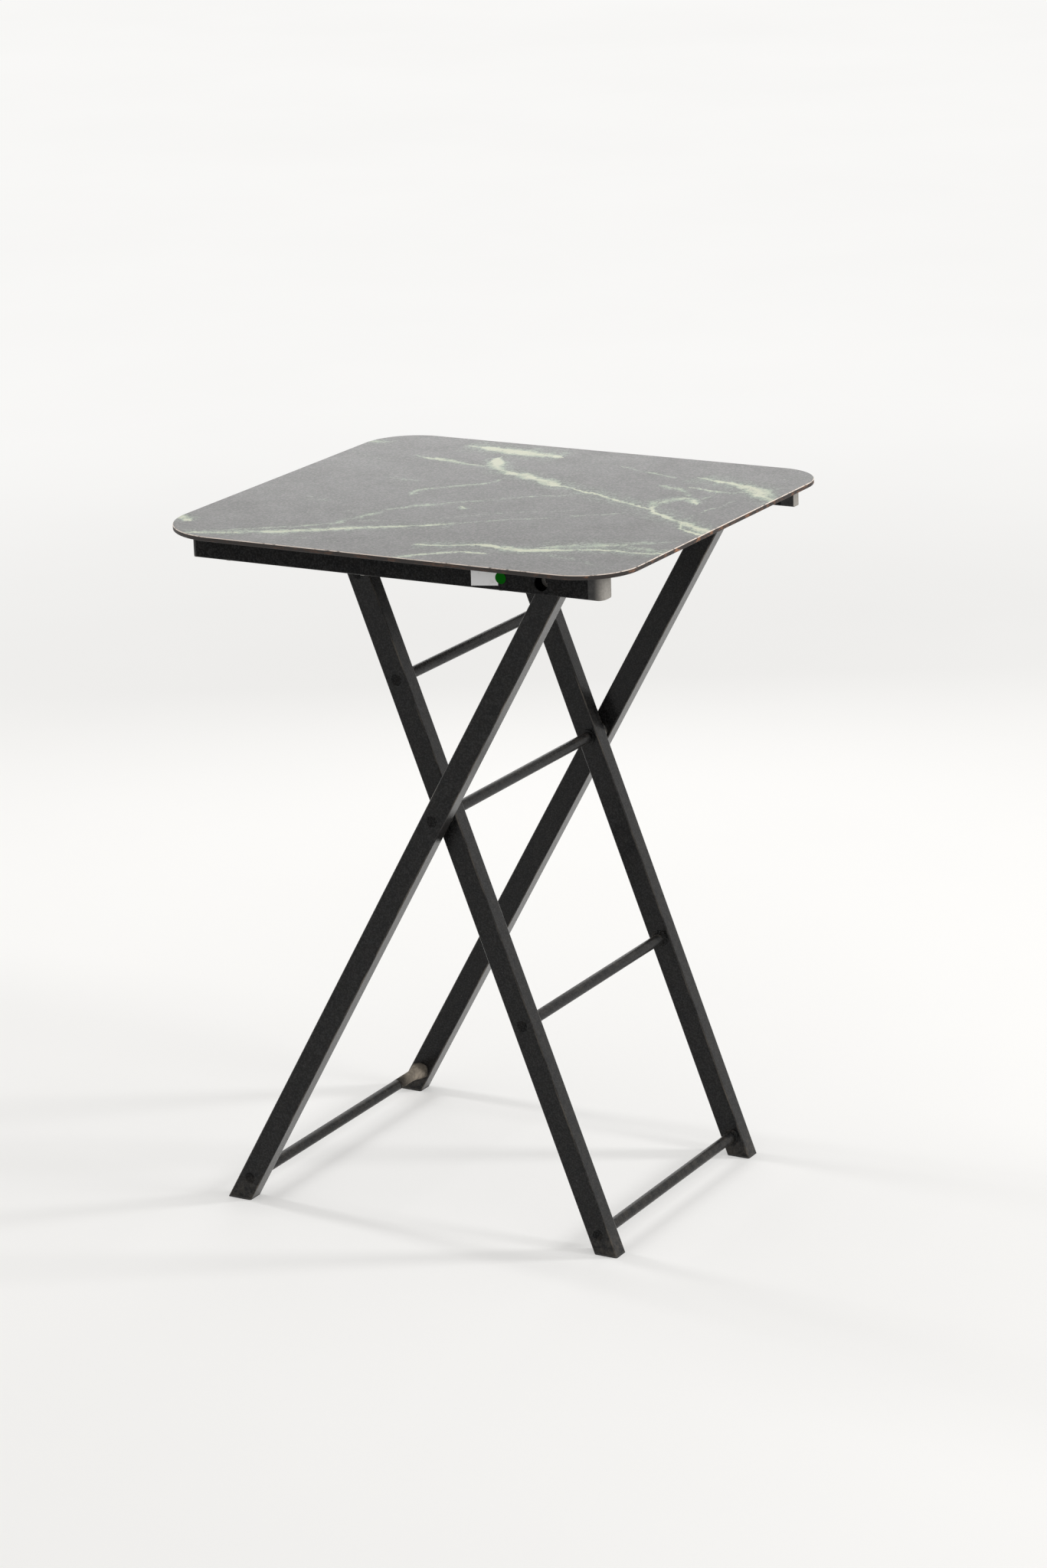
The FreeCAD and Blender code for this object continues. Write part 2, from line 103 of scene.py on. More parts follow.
# ---- nodes ----------------------------------------------------------------------------------
class NodeBench:
    """Lays out the nodes of one material, or of the world."""

    def __init__(self, tree: bpy.types.NodeTree) -> None:
        """Start on an empty tree.

        Args:
            tree: the tree to fill.
        """
        self.tree = tree
        self.tree.nodes.clear()

    def node(self, kind: str, **settings: object) -> bpy.types.Node:
        """Add a node.

        Args:
            kind: node type without the ShaderNode prefix.
            settings: properties of the node.

        Returns:
            The new node.
        """
        made = self.tree.nodes.new("ShaderNode" + kind)
        for name, value in settings.items():
            setattr(made, name, value)
        return made

    def feed(self, socket: Socket, source: Source) -> None:
        """Link a source to an input, or set it as the input's value.

        Args:
            socket: the input.
            source: another node's output, or a plain value.
        """
        if isinstance(source, bpy.types.NodeSocket):
            self.tree.links.new(source, socket)
        elif isinstance(source, (int, float)):
            socket.default_value = source
        else:
            values = tuple(source)
            wanted = len(socket.default_value)
            socket.default_value = values + (1.0,) * (wanted - len(values))

    def math(self, operation: str, *sources: Source, clamp: bool = False) -> Socket:
        """Add a Math node.

        Args:
            operation: the node's operation.
            sources: its inputs in order.
            clamp: keep the result between 0 and 1.

        Returns:
            Its result.
        """
        made = self.node("Math", operation=operation, use_clamp=clamp)
        for socket, source in zip(made.inputs, sources):
            self.feed(socket, source)
        return made.outputs[0]

    def times(self, first: Source, *factors: Source) -> Socket:
        """Multiply numbers.

        Args:
            first: the first number.
            factors: the others.

        Returns:
            The product.
        """
        result = first
        for factor in factors:
            result = self.math("MULTIPLY", result, factor)
        return result

    def ramp(self, value: Source, slope: Source, start: Source, clamp: bool = False) -> Socket:
        """Straight line: the value times the slope, plus the start."""
        return self.math("MULTIPLY_ADD", value, slope, start, clamp=clamp)

    def vector(self, operation: str, *sources: Source) -> bpy.types.Node:
        """Add a Vector Math node.

        Args:
            operation: the node's operation.
            sources: its vector inputs in order.

        Returns:
            The node.
        """
        made = self.node("VectorMath", operation=operation)
        for socket, source in zip(made.inputs, sources):
            self.feed(socket, source)
        return made

    def place(self) -> Socket:
        """Position in the object's own space, in metres."""
        return self.node("TexCoord").outputs["Object"]

    def axes(self, vector: Source) -> Sequence[Socket]:
        """Split a vector.

        Args:
            vector: the vector.

        Returns:
            Its X, Y and Z.
        """
        made = self.node("SeparateXYZ")
        self.feed(made.inputs[0], vector)
        return made.outputs

    def stretch(self, vector: Source, scale: Sequence[float],
                turn: Sequence[float] = (0, 0, 0)) -> Socket:
        """Turn and scale a vector.

        Args:
            vector: the vector.
            scale: factors along X, Y and Z of the turned axes.
            turn: turn of those axes, in radians.

        Returns:
            The changed vector.
        """
        made = self.node("Mapping", vector_type="TEXTURE")
        self.feed(made.inputs["Vector"], vector)
        made.inputs["Rotation"].default_value = tuple(turn)
        made.inputs["Scale"].default_value = tuple(1 / factor for factor in scale)
        return made.outputs[0]

    def noise(self, vector: Source, scale: float, detail: float = 2.0,
              rough: float = 0.5) -> bpy.types.Node:
        """Add a Noise Texture node.

        Args:
            vector: where to sample it.
            scale: waves per metre.
            detail: octaves.
            rough: strength of the finer octaves.

        Returns:
            The node, with Fac and Color outputs.
        """
        made = self.node("TexNoise")
        self.feed(made.inputs["Vector"], vector)
        made.inputs["Scale"].default_value = scale
        made.inputs["Detail"].default_value = detail
        made.inputs["Roughness"].default_value = rough
        return made

    def blend(self, factor: Source, first: Source, second: Source) -> Socket:
        """Mix two colours.

        Args:
            factor: share of the second one.
            first: colour at 0.
            second: colour at 1.

        Returns:
            The mixed colour.
        """
        made = self.node("Mix", data_type="RGBA")
        for place, source in zip(MIX_COLOUR_IN, (factor, first, second)):
            self.feed(made.inputs[place], source)
        return made.outputs[MIX_COLOUR_OUT]

    def pick(self, factor: Source, first: Source, second: Source) -> Socket:
        """Mix two numbers.

        Args:
            factor: share of the second one.
            first: number at 0.
            second: number at 1.

        Returns:
            The mixed number.
        """
        made = self.node("Mix", data_type="FLOAT")
        for place, source in zip(MIX_NUMBER_IN, (factor, first, second)):
            self.feed(made.inputs[place], source)
        return made.outputs[MIX_NUMBER_OUT]

    def largest(self, values: Sequence[Socket]) -> Socket:
        """Compare numbers.

        Args:
            values: the numbers.

        Returns:
            The greatest of them at each point.
        """
        result = values[0]
        for value in values[1:]:
            result = self.math("MAXIMUM", result, value)
        return result

    def curve(self, value: Source, points: Sequence[tuple[float, float]], handle: str) -> Socket:
        """Add a Float Curve node.

        Args:
            value: input from 0 to 1.
            points: the curve's points.
            handle: handle type of every point.

        Returns:
            The curve's value.
        """
        made = self.node("FloatCurve")
        self.feed(made.inputs["Value"], value)
        mapping = made.mapping
        mapping.use_clip = False
        mapping.extend = "HORIZONTAL"
        line = mapping.curves[0]
        while len(line.points) < len(points):
            line.points.new(0.5, 0.5)
        for spot, place in zip(line.points, points):
            spot.location = place
            spot.handle_type = handle
        mapping.update()
        return made.outputs[0]

    def bump(self, height: Source, distance: float, strength: float,
             normal: Source | None = None) -> Socket:
        """Add a Bump node.

        Args:
            height: the relief, about 0 to 1.
            distance: its depth in metres.
            strength: share of it that is used.
            normal: normal of a coarser bump under it.

        Returns:
            The bumped normal.
        """
        made = self.node("Bump")
        made.inputs["Distance"].default_value = distance
        made.inputs["Strength"].default_value = strength
        self.feed(made.inputs["Height"], height)
        if normal is not None:
            self.feed(made.inputs["Normal"], normal)
        return made.outputs[0]

    def shader(self, kind: str, colour: Socket) -> Socket:
        """Add a plain shader.

        Args:
            kind: node type without the ShaderNode prefix.
            colour: its colour.

        Returns:
            Its output.
        """
        made = self.node(kind)
        self.feed(made.inputs["Color"], colour)
        return made.outputs[0]

    def mix_shaders(self, factor: Source, first: Socket, second: Socket) -> Socket:
        """Mix two shaders.

        Args:
            factor: share of the second one.
            first: shader at 0.
            second: shader at 1.

        Returns:
            The mixed shader.
        """
        made = self.node("MixShader")
        for socket, source in zip(made.inputs, (factor, first, second)):
            self.feed(socket, source)
        return made.outputs[0]

    def straight_rays(self) -> Socket:
        """Rays that should see the backdrop as it is: camera, mirror and glass rays.

        Returns:
            1 for them, 0 for the rays that carry light.
        """
        paths = self.node("LightPath").outputs
        kinds = ("Camera", "Glossy", "Transmission")
        return self.largest([paths[f"Is {kind} Ray"] for kind in kinds])

    def finish(self, kind: str, shader: Socket) -> None:
        """Link a shader to the output node of a material or of the world."""
        self.tree.links.new(shader, self.node(kind).inputs["Surface"])

    def surface(self, inputs: dict[str, Source]) -> None:
        """Finish a material with a Principled BSDF.

        Args:
            inputs: its input sources by name.
        """
        shader = self.node("BsdfPrincipled")
        for name, source in inputs.items():
            self.feed(shader.inputs[name], source)
        self.finish("OutputMaterial", shader.outputs[0])


@dataclass(frozen=True)
class Step:
    """Smooth step: one result up to a low value, another from a high value on."""

    low: float
    high: float
    at_low: float = 0.0
    at_high: float = 1.0

    def of(self, bench: NodeBench, value: Socket) -> Socket:
        """Take a value through the step.

        Args:
            bench: the material's bench.
            value: what is tested.

        Returns:
            The step's result.
        """
        made = bench.node("MapRange", interpolation_type="SMOOTHSTEP")
        bench.feed(made.inputs["Value"], value)
        made.inputs["From Min"].default_value = self.low
        made.inputs["From Max"].default_value = self.high
        made.inputs["To Min"].default_value = self.at_low
        made.inputs["To Max"].default_value = self.at_high
        return made.outputs["Result"]


@dataclass(frozen=True)
class Grain:
    """Noise of one size, in waves per metre; with a step it lies in patches."""

    scale: float
    detail: float = 2.0
    rough: float = 0.5
    step: Step | None = None

    def at(self, bench: NodeBench, place: Source) -> Socket:
        """Noise at a position, about 0.5 on average without a step.

        Args:
            bench: the material's bench.
            place: position.

        Returns:
            The noise, after the step if there is one.
        """
        value = bench.noise(place, self.scale, self.detail, self.rough).outputs["Fac"]
        return value if self.step is None else self.step.of(bench, value)


def new_material(name: str) -> tuple[bpy.types.Material, NodeBench]:
    """Make an empty node material.

    Args:
        name: the material's name.

    Returns:
        The material and a bench on its tree.
    """
    material = bpy.data.materials.new(name)
    material.use_nodes = True
    return material, NodeBench(material.node_tree)


# ---- finishes -------------------------------------------------------------------------------
@dataclass(frozen=True)
class PowderCoat:
    """Black powder coat with grain, scuffs, chips and dust.

    Shares run from 0 to 1 and depths are in metres. The lean is the tube's angle in the XZ plane.
    """

    name: str = "black_powder_coat"
    coat: Colour = (0.0030, 0.0031, 0.0033)
    scuff: Colour = (0.055, 0.056, 0.058)
    chip: Colour = (0.20, 0.19, 0.17)
    # Dust colour; the tubes' pale edges, which are wear and also a painted edge highlight, take it
    # too.
    dust: Colour = (0.21, 0.18, 0.145)
    dust_share: float = 0.10
    fleck_share: float = 0.30
    rub_share: float = 0.35
    roughness: float = 0.28
    clouding: float = 0.16
    dust_roughness: float = 0.35
    specular: float = 0.03
    gloss: float = 0.30
    gloss_ior: float = 1.2
    gloss_roughness: float = 0.22
    haze: float = 0.03
    haze_roughness: float = 0.3
    haze_tint: Colour = (1.0, 0.88, 0.76)
    lean: float = 0.0
    # Share of pale colour on the tubes' rounded edges: rubbed wear, and also a painted edge
    # highlight.
    wear: float = 0.0
    relief: float = 0.5
    peel_depth: float = 0.00020
    chip_depth: float = 0.00010
    peel: Grain = Grain(780, 3, 0.6)
    clouds: Grain = Grain(22, 4, 0.6)
    rubs: Grain = Grain(75, 6, 0.65, Step(0.62, 0.80))
    chips: Grain = Grain(310, 3, 0.5, Step(0.755, 0.79))
    flecks: Grain = Grain(620, 2, 0.6, Step(0.42, 0.66))
    streaks: Grain = Grain(240, 6, 0.7, Step(0.42, 0.68))
    streak_scale: Point = (1, 1, 0.10)
    dust_patches: Grain = Grain(130, 5, 0.7, Step(0.36, 0.66))
    chipped_low_down: Step = Step(0.012, 0.13, 1.0, 0.25)
    past_side_face: Step = Step(0.04, 0.30)
    short_of_front: Step = Step(0.70, 0.985, 1.0, 0.0)
    settled: Step = Step(0.1, 0.9, 0.25, 1.0)
    kicked_up: Step = Step(0.0, 0.035, 1.6, 0.0)

    def make(self) -> bpy.types.Material:
        """Build the material.

        Returns:
            The material.
        """
        material, bench = new_material(self.name)
        place = bench.place()
        height = bench.axes(place)[2]
        chips = self.chips.at(bench, place)
        chipped = bench.times(chips, self.chipped_low_down.of(bench, height))
        flecked = bench.times(self.flecks.at(bench, place), self.fleck_share)
        rubbed = bench.times(self.rubs.at(bench, place), self.rub_share)
        dusty = self.dust_factor(bench, place, height)
        colour = bench.blend(flecked, self.coat, self.scuff)
        colour = bench.blend(rubbed, colour, self.scuff)
        # Pale tube edges: wear, and also a painted highlight along the rounded corners.
        colour = bench.blend(self.edge_wear(bench, place), colour, self.dust)
        colour = bench.blend(chipped, colour, self.chip)
        colour = bench.blend(dusty, colour, self.dust)
        smoothest = self.roughness - self.clouding / 2
        rough = bench.ramp(self.clouds.at(bench, place), self.clouding, smoothest)
        relief = bench.bump(self.peel.at(bench, place), self.peel_depth, self.relief)
        bench.surface({
            "Base Color": colour,
            "Roughness": bench.ramp(dusty, self.dust_roughness, rough, clamp=True),
            "Specular IOR Level": self.specular,
            "Coat Weight": self.gloss,
            "Coat IOR": self.gloss_ior,
            "Coat Roughness": self.gloss_roughness,
            "Sheen Weight": self.haze,
            "Sheen Roughness": self.haze_roughness,
            "Sheen Tint": self.haze_tint,
            "Normal": bench.bump(chips, -self.chip_depth, self.relief, relief),
        })
        return material

    def edge_wear(self, bench: NodeBench, place: Socket) -> Socket:
        """Where a tube's rounded edges are rubbed through, in streaks along the tube; this also
        paints a pale highlight along those edges.

        Args:
            bench: the material's bench.
            place: position.

        Returns:
            Share of the pale edge colour, for wear and painted highlight, from 0 to 1.
        """
        sideways = bench.axes(bench.node("TexCoord").outputs["Normal"])[1]
        sideways = bench.math("ABSOLUTE", sideways)
        along_tube = bench.stretch(place, self.streak_scale, (0, self.lean, 0))
        return bench.times(
            self.past_side_face.of(bench, sideways),
            self.short_of_front.of(bench, sideways),
            self.streaks.at(bench, along_tube),
            self.wear,
        )

    def dust_factor(self, bench: NodeBench, place: Socket, height: Socket) -> Socket:
        """Where dust lies: on faces that look up, and near the floor.

        Args:
            bench: the material's bench.
            place: position.
            height: its Z.

        Returns:
            Dust's share, from 0 to 1.
        """
        up = bench.axes(bench.node("NewGeometry").outputs["Normal"])[2]
        share = bench.math("ADD", self.settled.of(bench, up), self.kicked_up.of(bench, height))
        share = bench.times(share, self.dust_share)
        return bench.math("MULTIPLY", self.dust_patches.at(bench, place), share, clamp=True)


@dataclass(frozen=True)
class CakedCoat(PowderCoat):
    """Powder coat under caked dust, which thins out toward the bar and at the leg, along Y."""

    name: str = "dusty_weld"
    dust: Colour = (0.30, 0.26, 0.21)
    gloss: float = 0.0
    roughness: float = 0.7
    patchiness: float = 0.45
    from_bar: Step = Step(0.116, 0.152, 0.05, 0.95)
    to_leg: Step = Step(0.158, 0.1695, 1.0, 0.35)

    def dust_factor(self, bench: NodeBench, place: Socket, height: Socket) -> Socket:
        """Where dust lies: all round, in thick patches.

        Args:
            bench: the material's bench.
            place: position.
            height: its Z, which doesn't matter here.

        Returns:
            Dust's share, from 0 to 1.
        """
        north = bench.axes(place)[1]
        thick = bench.ramp(self.dust_patches.at(bench, place), self.patchiness, 1 - self.patchiness)
        return bench.times(thick, self.from_bar.of(bench, north), self.to_leg.of(bench, north))


@dataclass(frozen=True)
class MouldedPlastic:
    """Black moulded plastic with fine grain and dust; ends that get handled are rubbed grey, and
    that grey on faces looking along +X is also a painted highlight.
    """

    name: str = "black_plastic"
    body: Colour = (0.011, 0.011, 0.011)
    dust: Colour = (0.27, 0.245, 0.21)
    dust_share: float = 0.12
    end_share: float = 0.0
    roughness: float = 0.55
    dust_roughness: float = 0.3
    relief: float = 0.35
    depth: float = 0.00010
    pores: Grain = Grain(1300, 3, 0.6)
    patches: Grain = Grain(160, 6, 0.72, Step(0.34, 0.70))
    grit: Grain = Grain(420, 5, 0.7)
    grit_share: float = 0.9
    # Faces that look along +X, where the grey goes: rubbing on the handled end, and also a painted
    # highlight.
    end_face: Step = Step(0.02, 0.95)

    def make(self) -> bpy.types.Material:
        """Build the material.

        Returns:
            The material.
        """
        material, bench = new_material(self.name)
        place = bench.place()
        outward = bench.axes(bench.node("TexCoord").outputs["Normal"])[0]
        grit = bench.ramp(self.grit.at(bench, place), self.grit_share, self.grit_share / 2)
        # Grey on faces that look along +X: rubbed wear, and also a painted highlight.
        rubbed = bench.times(self.end_face.of(bench, outward), grit, self.end_share)
        dusty = bench.times(self.patches.at(bench, place), self.dust_share)
        share = bench.math("MAXIMUM", dusty, rubbed, clamp=True)
        bench.surface({
            "Base Color": bench.blend(share, self.body, self.dust),
            "Roughness": bench.ramp(share, self.dust_roughness, self.roughness, clamp=True),
            "Normal": bench.bump(self.pores.at(bench, place), self.depth, self.relief),
        })
        return material


@dataclass(frozen=True)
class ZincPlate:
    """Dull zinc plating with brown stains in patches."""

    name: str = "zinc_plate"
    bright: Colour = (0.46, 0.45, 0.43)
    dull: Colour = (0.22, 0.21, 0.19)
    stain: Colour = (0.13, 0.085, 0.045)
    smoothest: float = 0.28
    clouding: float = 0.30
    stain_share: float = 0.7
    stain_roughness: float = 0.25
    stain_metal_loss: float = 0.6
    relief: float = 0.3
    depth: float = 0.00005
    clouds: Grain = Grain(210, 5, 0.6)
    dulled: Step = Step(0.35, 0.7)
    stains: Grain = Grain(330, 5, 0.65, Step(0.52, 0.70))
    turning: Grain = Grain(160, 3)
    turning_scale: Point = (1, 14, 1)

    def make(self) -> bpy.types.Material:
        """Build the material.

        Returns:
            The material.
        """
        material, bench = new_material(self.name)
        place = bench.place()
        clouds = self.clouds.at(bench, place)
        stains = self.stains.at(bench, place)
        turned = self.turning.at(bench, bench.stretch(place, self.turning_scale))
        colour = bench.blend(self.dulled.of(bench, clouds), self.bright, self.dull)
        rough = bench.ramp(clouds, self.clouding, self.smoothest)
        bench.surface({
            "Base Color": bench.blend(bench.times(stains, self.stain_share), colour, self.stain),
            "Metallic": bench.ramp(stains, -self.stain_metal_loss, 1.0),
            "Roughness": bench.ramp(stains, self.stain_roughness, rough),
            "Normal": bench.bump(turned, self.depth, self.relief),
        })
        return material


@dataclass(frozen=True)
class Paper:
    """Blank coated paper, soiled in patches."""

    name: str = "blank_paper"
    sheet: Colour = (0.80, 0.80, 0.80)
    soiled: Colour = (0.58, 0.57, 0.54)
    specular: float = 0.15
    roughness: float = 0.6
    soil_roughness: float = 0.2
    relief: float = 0.4
    depth: float = 0.00003
    fibres: Grain = Grain(2600, 3)
    soil: Grain = Grain(190, 5, 0.7, Step(0.5, 0.8))

    def make(self) -> bpy.types.Material:
        """Build the material.

        Returns:
            The material.
        """
        material, bench = new_material(self.name)
        place = bench.place()
        soil = self.soil.at(bench, place)
        bench.surface({
            "Base Color": bench.blend(soil, self.sheet, self.soiled),
            "Roughness": bench.ramp(soil, self.soil_roughness, self.roughness),
            "Specular IOR Level": self.specular,
            "Normal": bench.bump(self.fibres.at(bench, place), self.depth, self.relief),
        })
        return material


@dataclass(frozen=True)
class Vein:
    """One vein of the stone print.

    Each point is x, y and half width, in millimetres on the top, in order along it. The halo is
    its reach in millimetres past the vein, and the spread widens every half width.
    """

    tone: Tone
    points: tuple[Point, ...]
    halo: float = 6.0
    spread: float = 1.65
    side_room: float = 2.2
    least_wander: float = 0.002
    halo_growth: float = 1.5
    halo_ends: float = 6.0
    least_width: float = 1e-5

    def frame(self) -> tuple[Vector, Vector, float]:
        """Line from the first point to the last.

        Returns:
            The unit vector along it, the one across it, and its length in metres.
        """
        first, last = (Vector(self.points[k][:2]) * MM for k in (0, -1))
        along = (last - first).normalized()
        return along, Vector((-along.y, along.x)), (last - first).length

    def field(self, bench: NodeBench, place: Socket) -> tuple[Socket, Socket]:
        """Nodes that say how near a point is to the vein.

        Args:
            bench: the material's bench.
            place: warped position.

        Returns:
            The core, 1 on its middle line, and the wider halo.
        """
        along, across, length = self.frame()
        first = Vector(self.points[0][:2]) * MM
        steps = [Vector(point[:2]) * MM - first for point in self.points]
        shares = [step.dot(along) / length for step in steps]
        offsets = [step.dot(across) for step in steps]
        reach = self.side_room * max(max(abs(offset) for offset in offsets), self.least_wander)
        widest = self.spread * max(point[2] for point in self.points) * MM
        run = bench.vector("DOT_PRODUCT", place, (along.x, along.y, 0)).outputs["Value"]
        side = bench.vector("DOT_PRODUCT", place, (across.x, across.y, 0)).outputs["Value"]
        run = bench.ramp(run, 1 / length, -first.dot(along) / length)
        side = bench.ramp(side, 1 / reach, 0.5 - first.dot(across) / reach)
        line = [(share, 0.5 + offset / reach) for share, offset in zip(shares, offsets)]
        widths = [(share, self.spread * point[2] * MM / widest)
                  for share, point in zip(shares, self.points)]
        middle = bench.curve(run, line, "AUTO")
        wide = bench.curve(run, widths, "VECTOR")
        gap = bench.times(bench.math("ABSOLUTE", bench.math("SUBTRACT", side, middle)), reach)
        core_width = bench.ramp(wide, widest, self.least_width)
        ends = bench.math("MINIMUM", bench.times(wide, self.halo_ends), 1.0)
        halo_width = bench.ramp(ends, self.halo * MM + self.halo_growth * widest, self.least_width)
        core, halo = (bench.math("SUBTRACT", 1.0, bench.math("DIVIDE", gap, width), clamp=True)
                      for width in (core_width, halo_width))
        return bench.times(core, self.tone.value), bench.times(halo, self.tone.value)


VEINS: tuple[Vein, ...] = (
    Vein(Tone.PALE, ((-94, 185, 0), (-93, 175, 3), (-87, 157, 11), (-74, 139, 9), (-61, 127, 5),
          (-48, 120, 7), (-28, 113, 10), (-4, 105, 9), (12, 97, 11), (26, 87, 7), (34, 84, 2),
          (51, 79, 1.6), (71, 71, 2), (100, 59, 2), (117, 51, 3), (144, 39, 1.5), (171, 24, 2.4),
          (189, 10, 2.8), (216, -4, 3.4), (233, -15, 5), (248, -27, 6), (270, -39, 7),
          (285, -47, 7)), 7.0),
    Vein(Tone.PALE, ((218, -5, 0), (228, -15, 2), (236, -32, 2.4), (252, -44, 2), (270, -50, 2),
          (285, -54, 2)), 3.0),
    Vein(Tone.PALE, ((-161, 220, 0), (-150, 217, 4), (-133, 216, 7), (-113, 212, 11),
          (-93, 211, 14), (-74, 210, 12), (-48, 207, 9), (-35, 203, 6), (-27, 201, 0)), 9.0),
    Vein(Tone.GREEN, ((-187, 154, 0), (-179, 152, 4), (-147, 147, 5), (-113, 139, 5),
          (-92, 136, 2), (-84, 135, 0)), 5.0),
    Vein(Tone.FAINT, ((-268, 148, 2), (-248, 141, 4), (-227, 131, 4), (-204, 120, 0)), 6.0),
    Vein(Tone.SOFT, ((46, 192, 0), (58, 188, 1.5), (71, 182, 3), (97, 172, 4), (119, 165, 4),
          (131, 161, 0)), 4.0),
    Vein(Tone.PALE, ((147, 173, 0), (157, 170, 3), (183, 163, 4), (201, 159, 6), (218, 151, 9),
          (236, 142, 12), (251, 126, 10), (263, 113, 7), (280, 100, 5)), 9.0),
    Vein(Tone.GREEN, ((161, 131, 0), (171, 128, 3), (189, 124, 4), (209, 122, 4), (222, 126, 3),
          (234, 132, 0)), 5.0),
    Vein(Tone.GREEN, ((172, 24, 0), (167, 36, 6), (163, 52, 9), (167, 66, 11), (178, 80, 10),
          (190, 88, 0)), 12.0),
    Vein(Tone.GREEN, ((176, 84, 0), (192, 79, 8), (200, 71, 7), (207, 62, 0)), 10.0),
    Vein(Tone.SOFT, ((196, 74, 0), (198, 90, 2), (200, 106, 2), (202, 120, 0)), 3.0),
    Vein(Tone.SOFT, ((129, 129, 0), (143, 121, 8), (155, 118, 8), (168, 109, 5), (178, 94, 4),
          (180, 88, 0)), 8.0),
    Vein(Tone.SOFT, ((234, 100, 0), (233, 86, 2), (233, 68, 2), (228, 50, 2), (226, 32, 2),
          (222, 16, 2), (230, -3, 0)), 2.0),
    Vein(Tone.FAINT, ((273, 227, 3), (257, 213, 3), (236, 196, 3), (210, 179, 2.5),
          (192, 168, 0)), 2.0),
    Vein(Tone.SOFT, ((-41, 102, 0), (-41, 88, 3), (-43, 74, 4), (-53, 57, 6), (-67, 47, 6),
          (-83, 30, 4), (-96, 14, 6), (-95, -3, 6), (-92, -12, 0)), 5.0),
    Vein(Tone.SOFT, ((-161, 52, 0), (-149, 52, 6), (-140, 51, 6), (-128, 50, 5),
          (-116, 47, 0)), 4.0),
    Vein(Tone.FAINT, ((-13, 150, 0), (-1, 153, 5), (12, 154, 5), (26, 158, 0)), 5.0),
    Vein(Tone.FAINT, ((-195, -52, 0), (-185, -57, 9), (-167, -62, 10), (-155, -62, 0)), 6.0),
    Vein(Tone.GREEN, ((-243, -251, 4), (-218, -237, 5), (-192, -225, 6), (-162, -211, 8),
          (-139, -201, 9), (-117, -187, 9), (-93, -171, 8), (-67, -155, 6), (-48, -143, 5),
          (-28, -129, 4), (-1, -114, 3), (18, -98, 0)), 9.0),
    Vein(Tone.SOFT, ((-20, -124, 0), (18, -96, 2.2), (45, -76, 2), (75, -55, 1.6), (100, -37, 2),
          (124, -20, 2.6), (147, -3, 2.4), (158, 5, 0)), 3.0),
    Vein(Tone.SOFT, ((-203, -221, 0), (-179, -205, 3), (-146, -182, 3), (-113, -157, 4),
          (-100, -145, 5), (-92, -137, 0)), 3.0),
    Vein(Tone.SOFT, ((-104, -149, 0), (-101, -137, 7), (-96, -121, 8), (-90, -107, 6),
          (-85, -91, 5), (-86, -75, 0)), 7.0),
    Vein(Tone.SOFT, ((-84, -83, 0), (-78, -69, 3), (-64, -51, 6), (-55, -43, 6), (-45, -35, 4),
          (-28, -18, 3), (-1, 4, 3), (18, 23, 2), (51, 45, 2), (68, 55, 0)), 5.0),
    Vein(Tone.FAINT, ((-195, -142, 0), (-175, -131, 4), (-130, -105, 3), (-93, -81, 3),
          (-76, -65, 0)), 4.0),
    Vein(Tone.FAINT, ((-94, -136, 0), (-80, -127, 7), (-48, -111, 4), (-28, -98, 4), (2, -74, 4),
          (31, -51, 4), (65, -27, 4), (97, -10, 3), (119, 2, 0)), 5.0),
    Vein(Tone.GREEN, ((-22, -33, 0), (-15, -39, 6), (-8, -45, 0)), 4.0),
    Vein(Tone.PALE, ((18, -196, 0), (26, -194, 2), (51, -184, 2.6), (72, -176, 3), (89, -172, 4),
          (101, -173, 5), (117, -176, 8), (140, -172, 8), (157, -165, 6), (171, -158, 5),
          (186, -152, 3), (209, -144, 3.4), (235, -143, 2.4), (255, -138, 2.4),
          (275, -130, 2)), 6.0),
    Vein(Tone.GREEN, ((140, -160, 0), (160, -148, 9), (179, -138, 14), (196, -128, 12),
          (208, -122, 8), (220, -114, 0)), 13.0),
    Vein(Tone.SOFT, ((200, -128, 0), (218, -114, 8), (232, -104, 9), (245, -94, 8),
          (260, -84, 0)), 10.0),
    Vein(Tone.SOFT, ((198, -125, 0), (218, -125, 9), (245, -125, 10), (267, -126, 8),
          (281, -127, 6)), 10.0),
    Vein(Tone.GREEN, ((32, -247, 4), (38, -237, 5), (48, -225, 4), (60, -215, 5), (78, -205, 4),
          (100, -199, 3), (107, -197, 0)), 6.0),
    Vein(Tone.FAINT, ((101, -195, 0), (119, -189, 7), (150, -184, 9), (183, -186, 9),
          (209, -191, 8), (235, -203, 7), (257, -211, 0)), 9.0),
    Vein(Tone.FAINT, ((-149, -209, 0), (-128, -210, 4), (-106, -213, 4), (-74, -215, 4),
          (-51, -212, 0)), 4.0),
    Vein(Tone.PALE, ((-289, -168, 6), (-274, -178, 9), (-262, -186, 8), (-252, -191, 4),
          (-246, -194, 0)), 5.0),
    Vein(Tone.SOFT, ((-288, 193, 10), (-266, 197, 12), (-254, 201, 10), (-238, 209, 0)), 12.0),
)


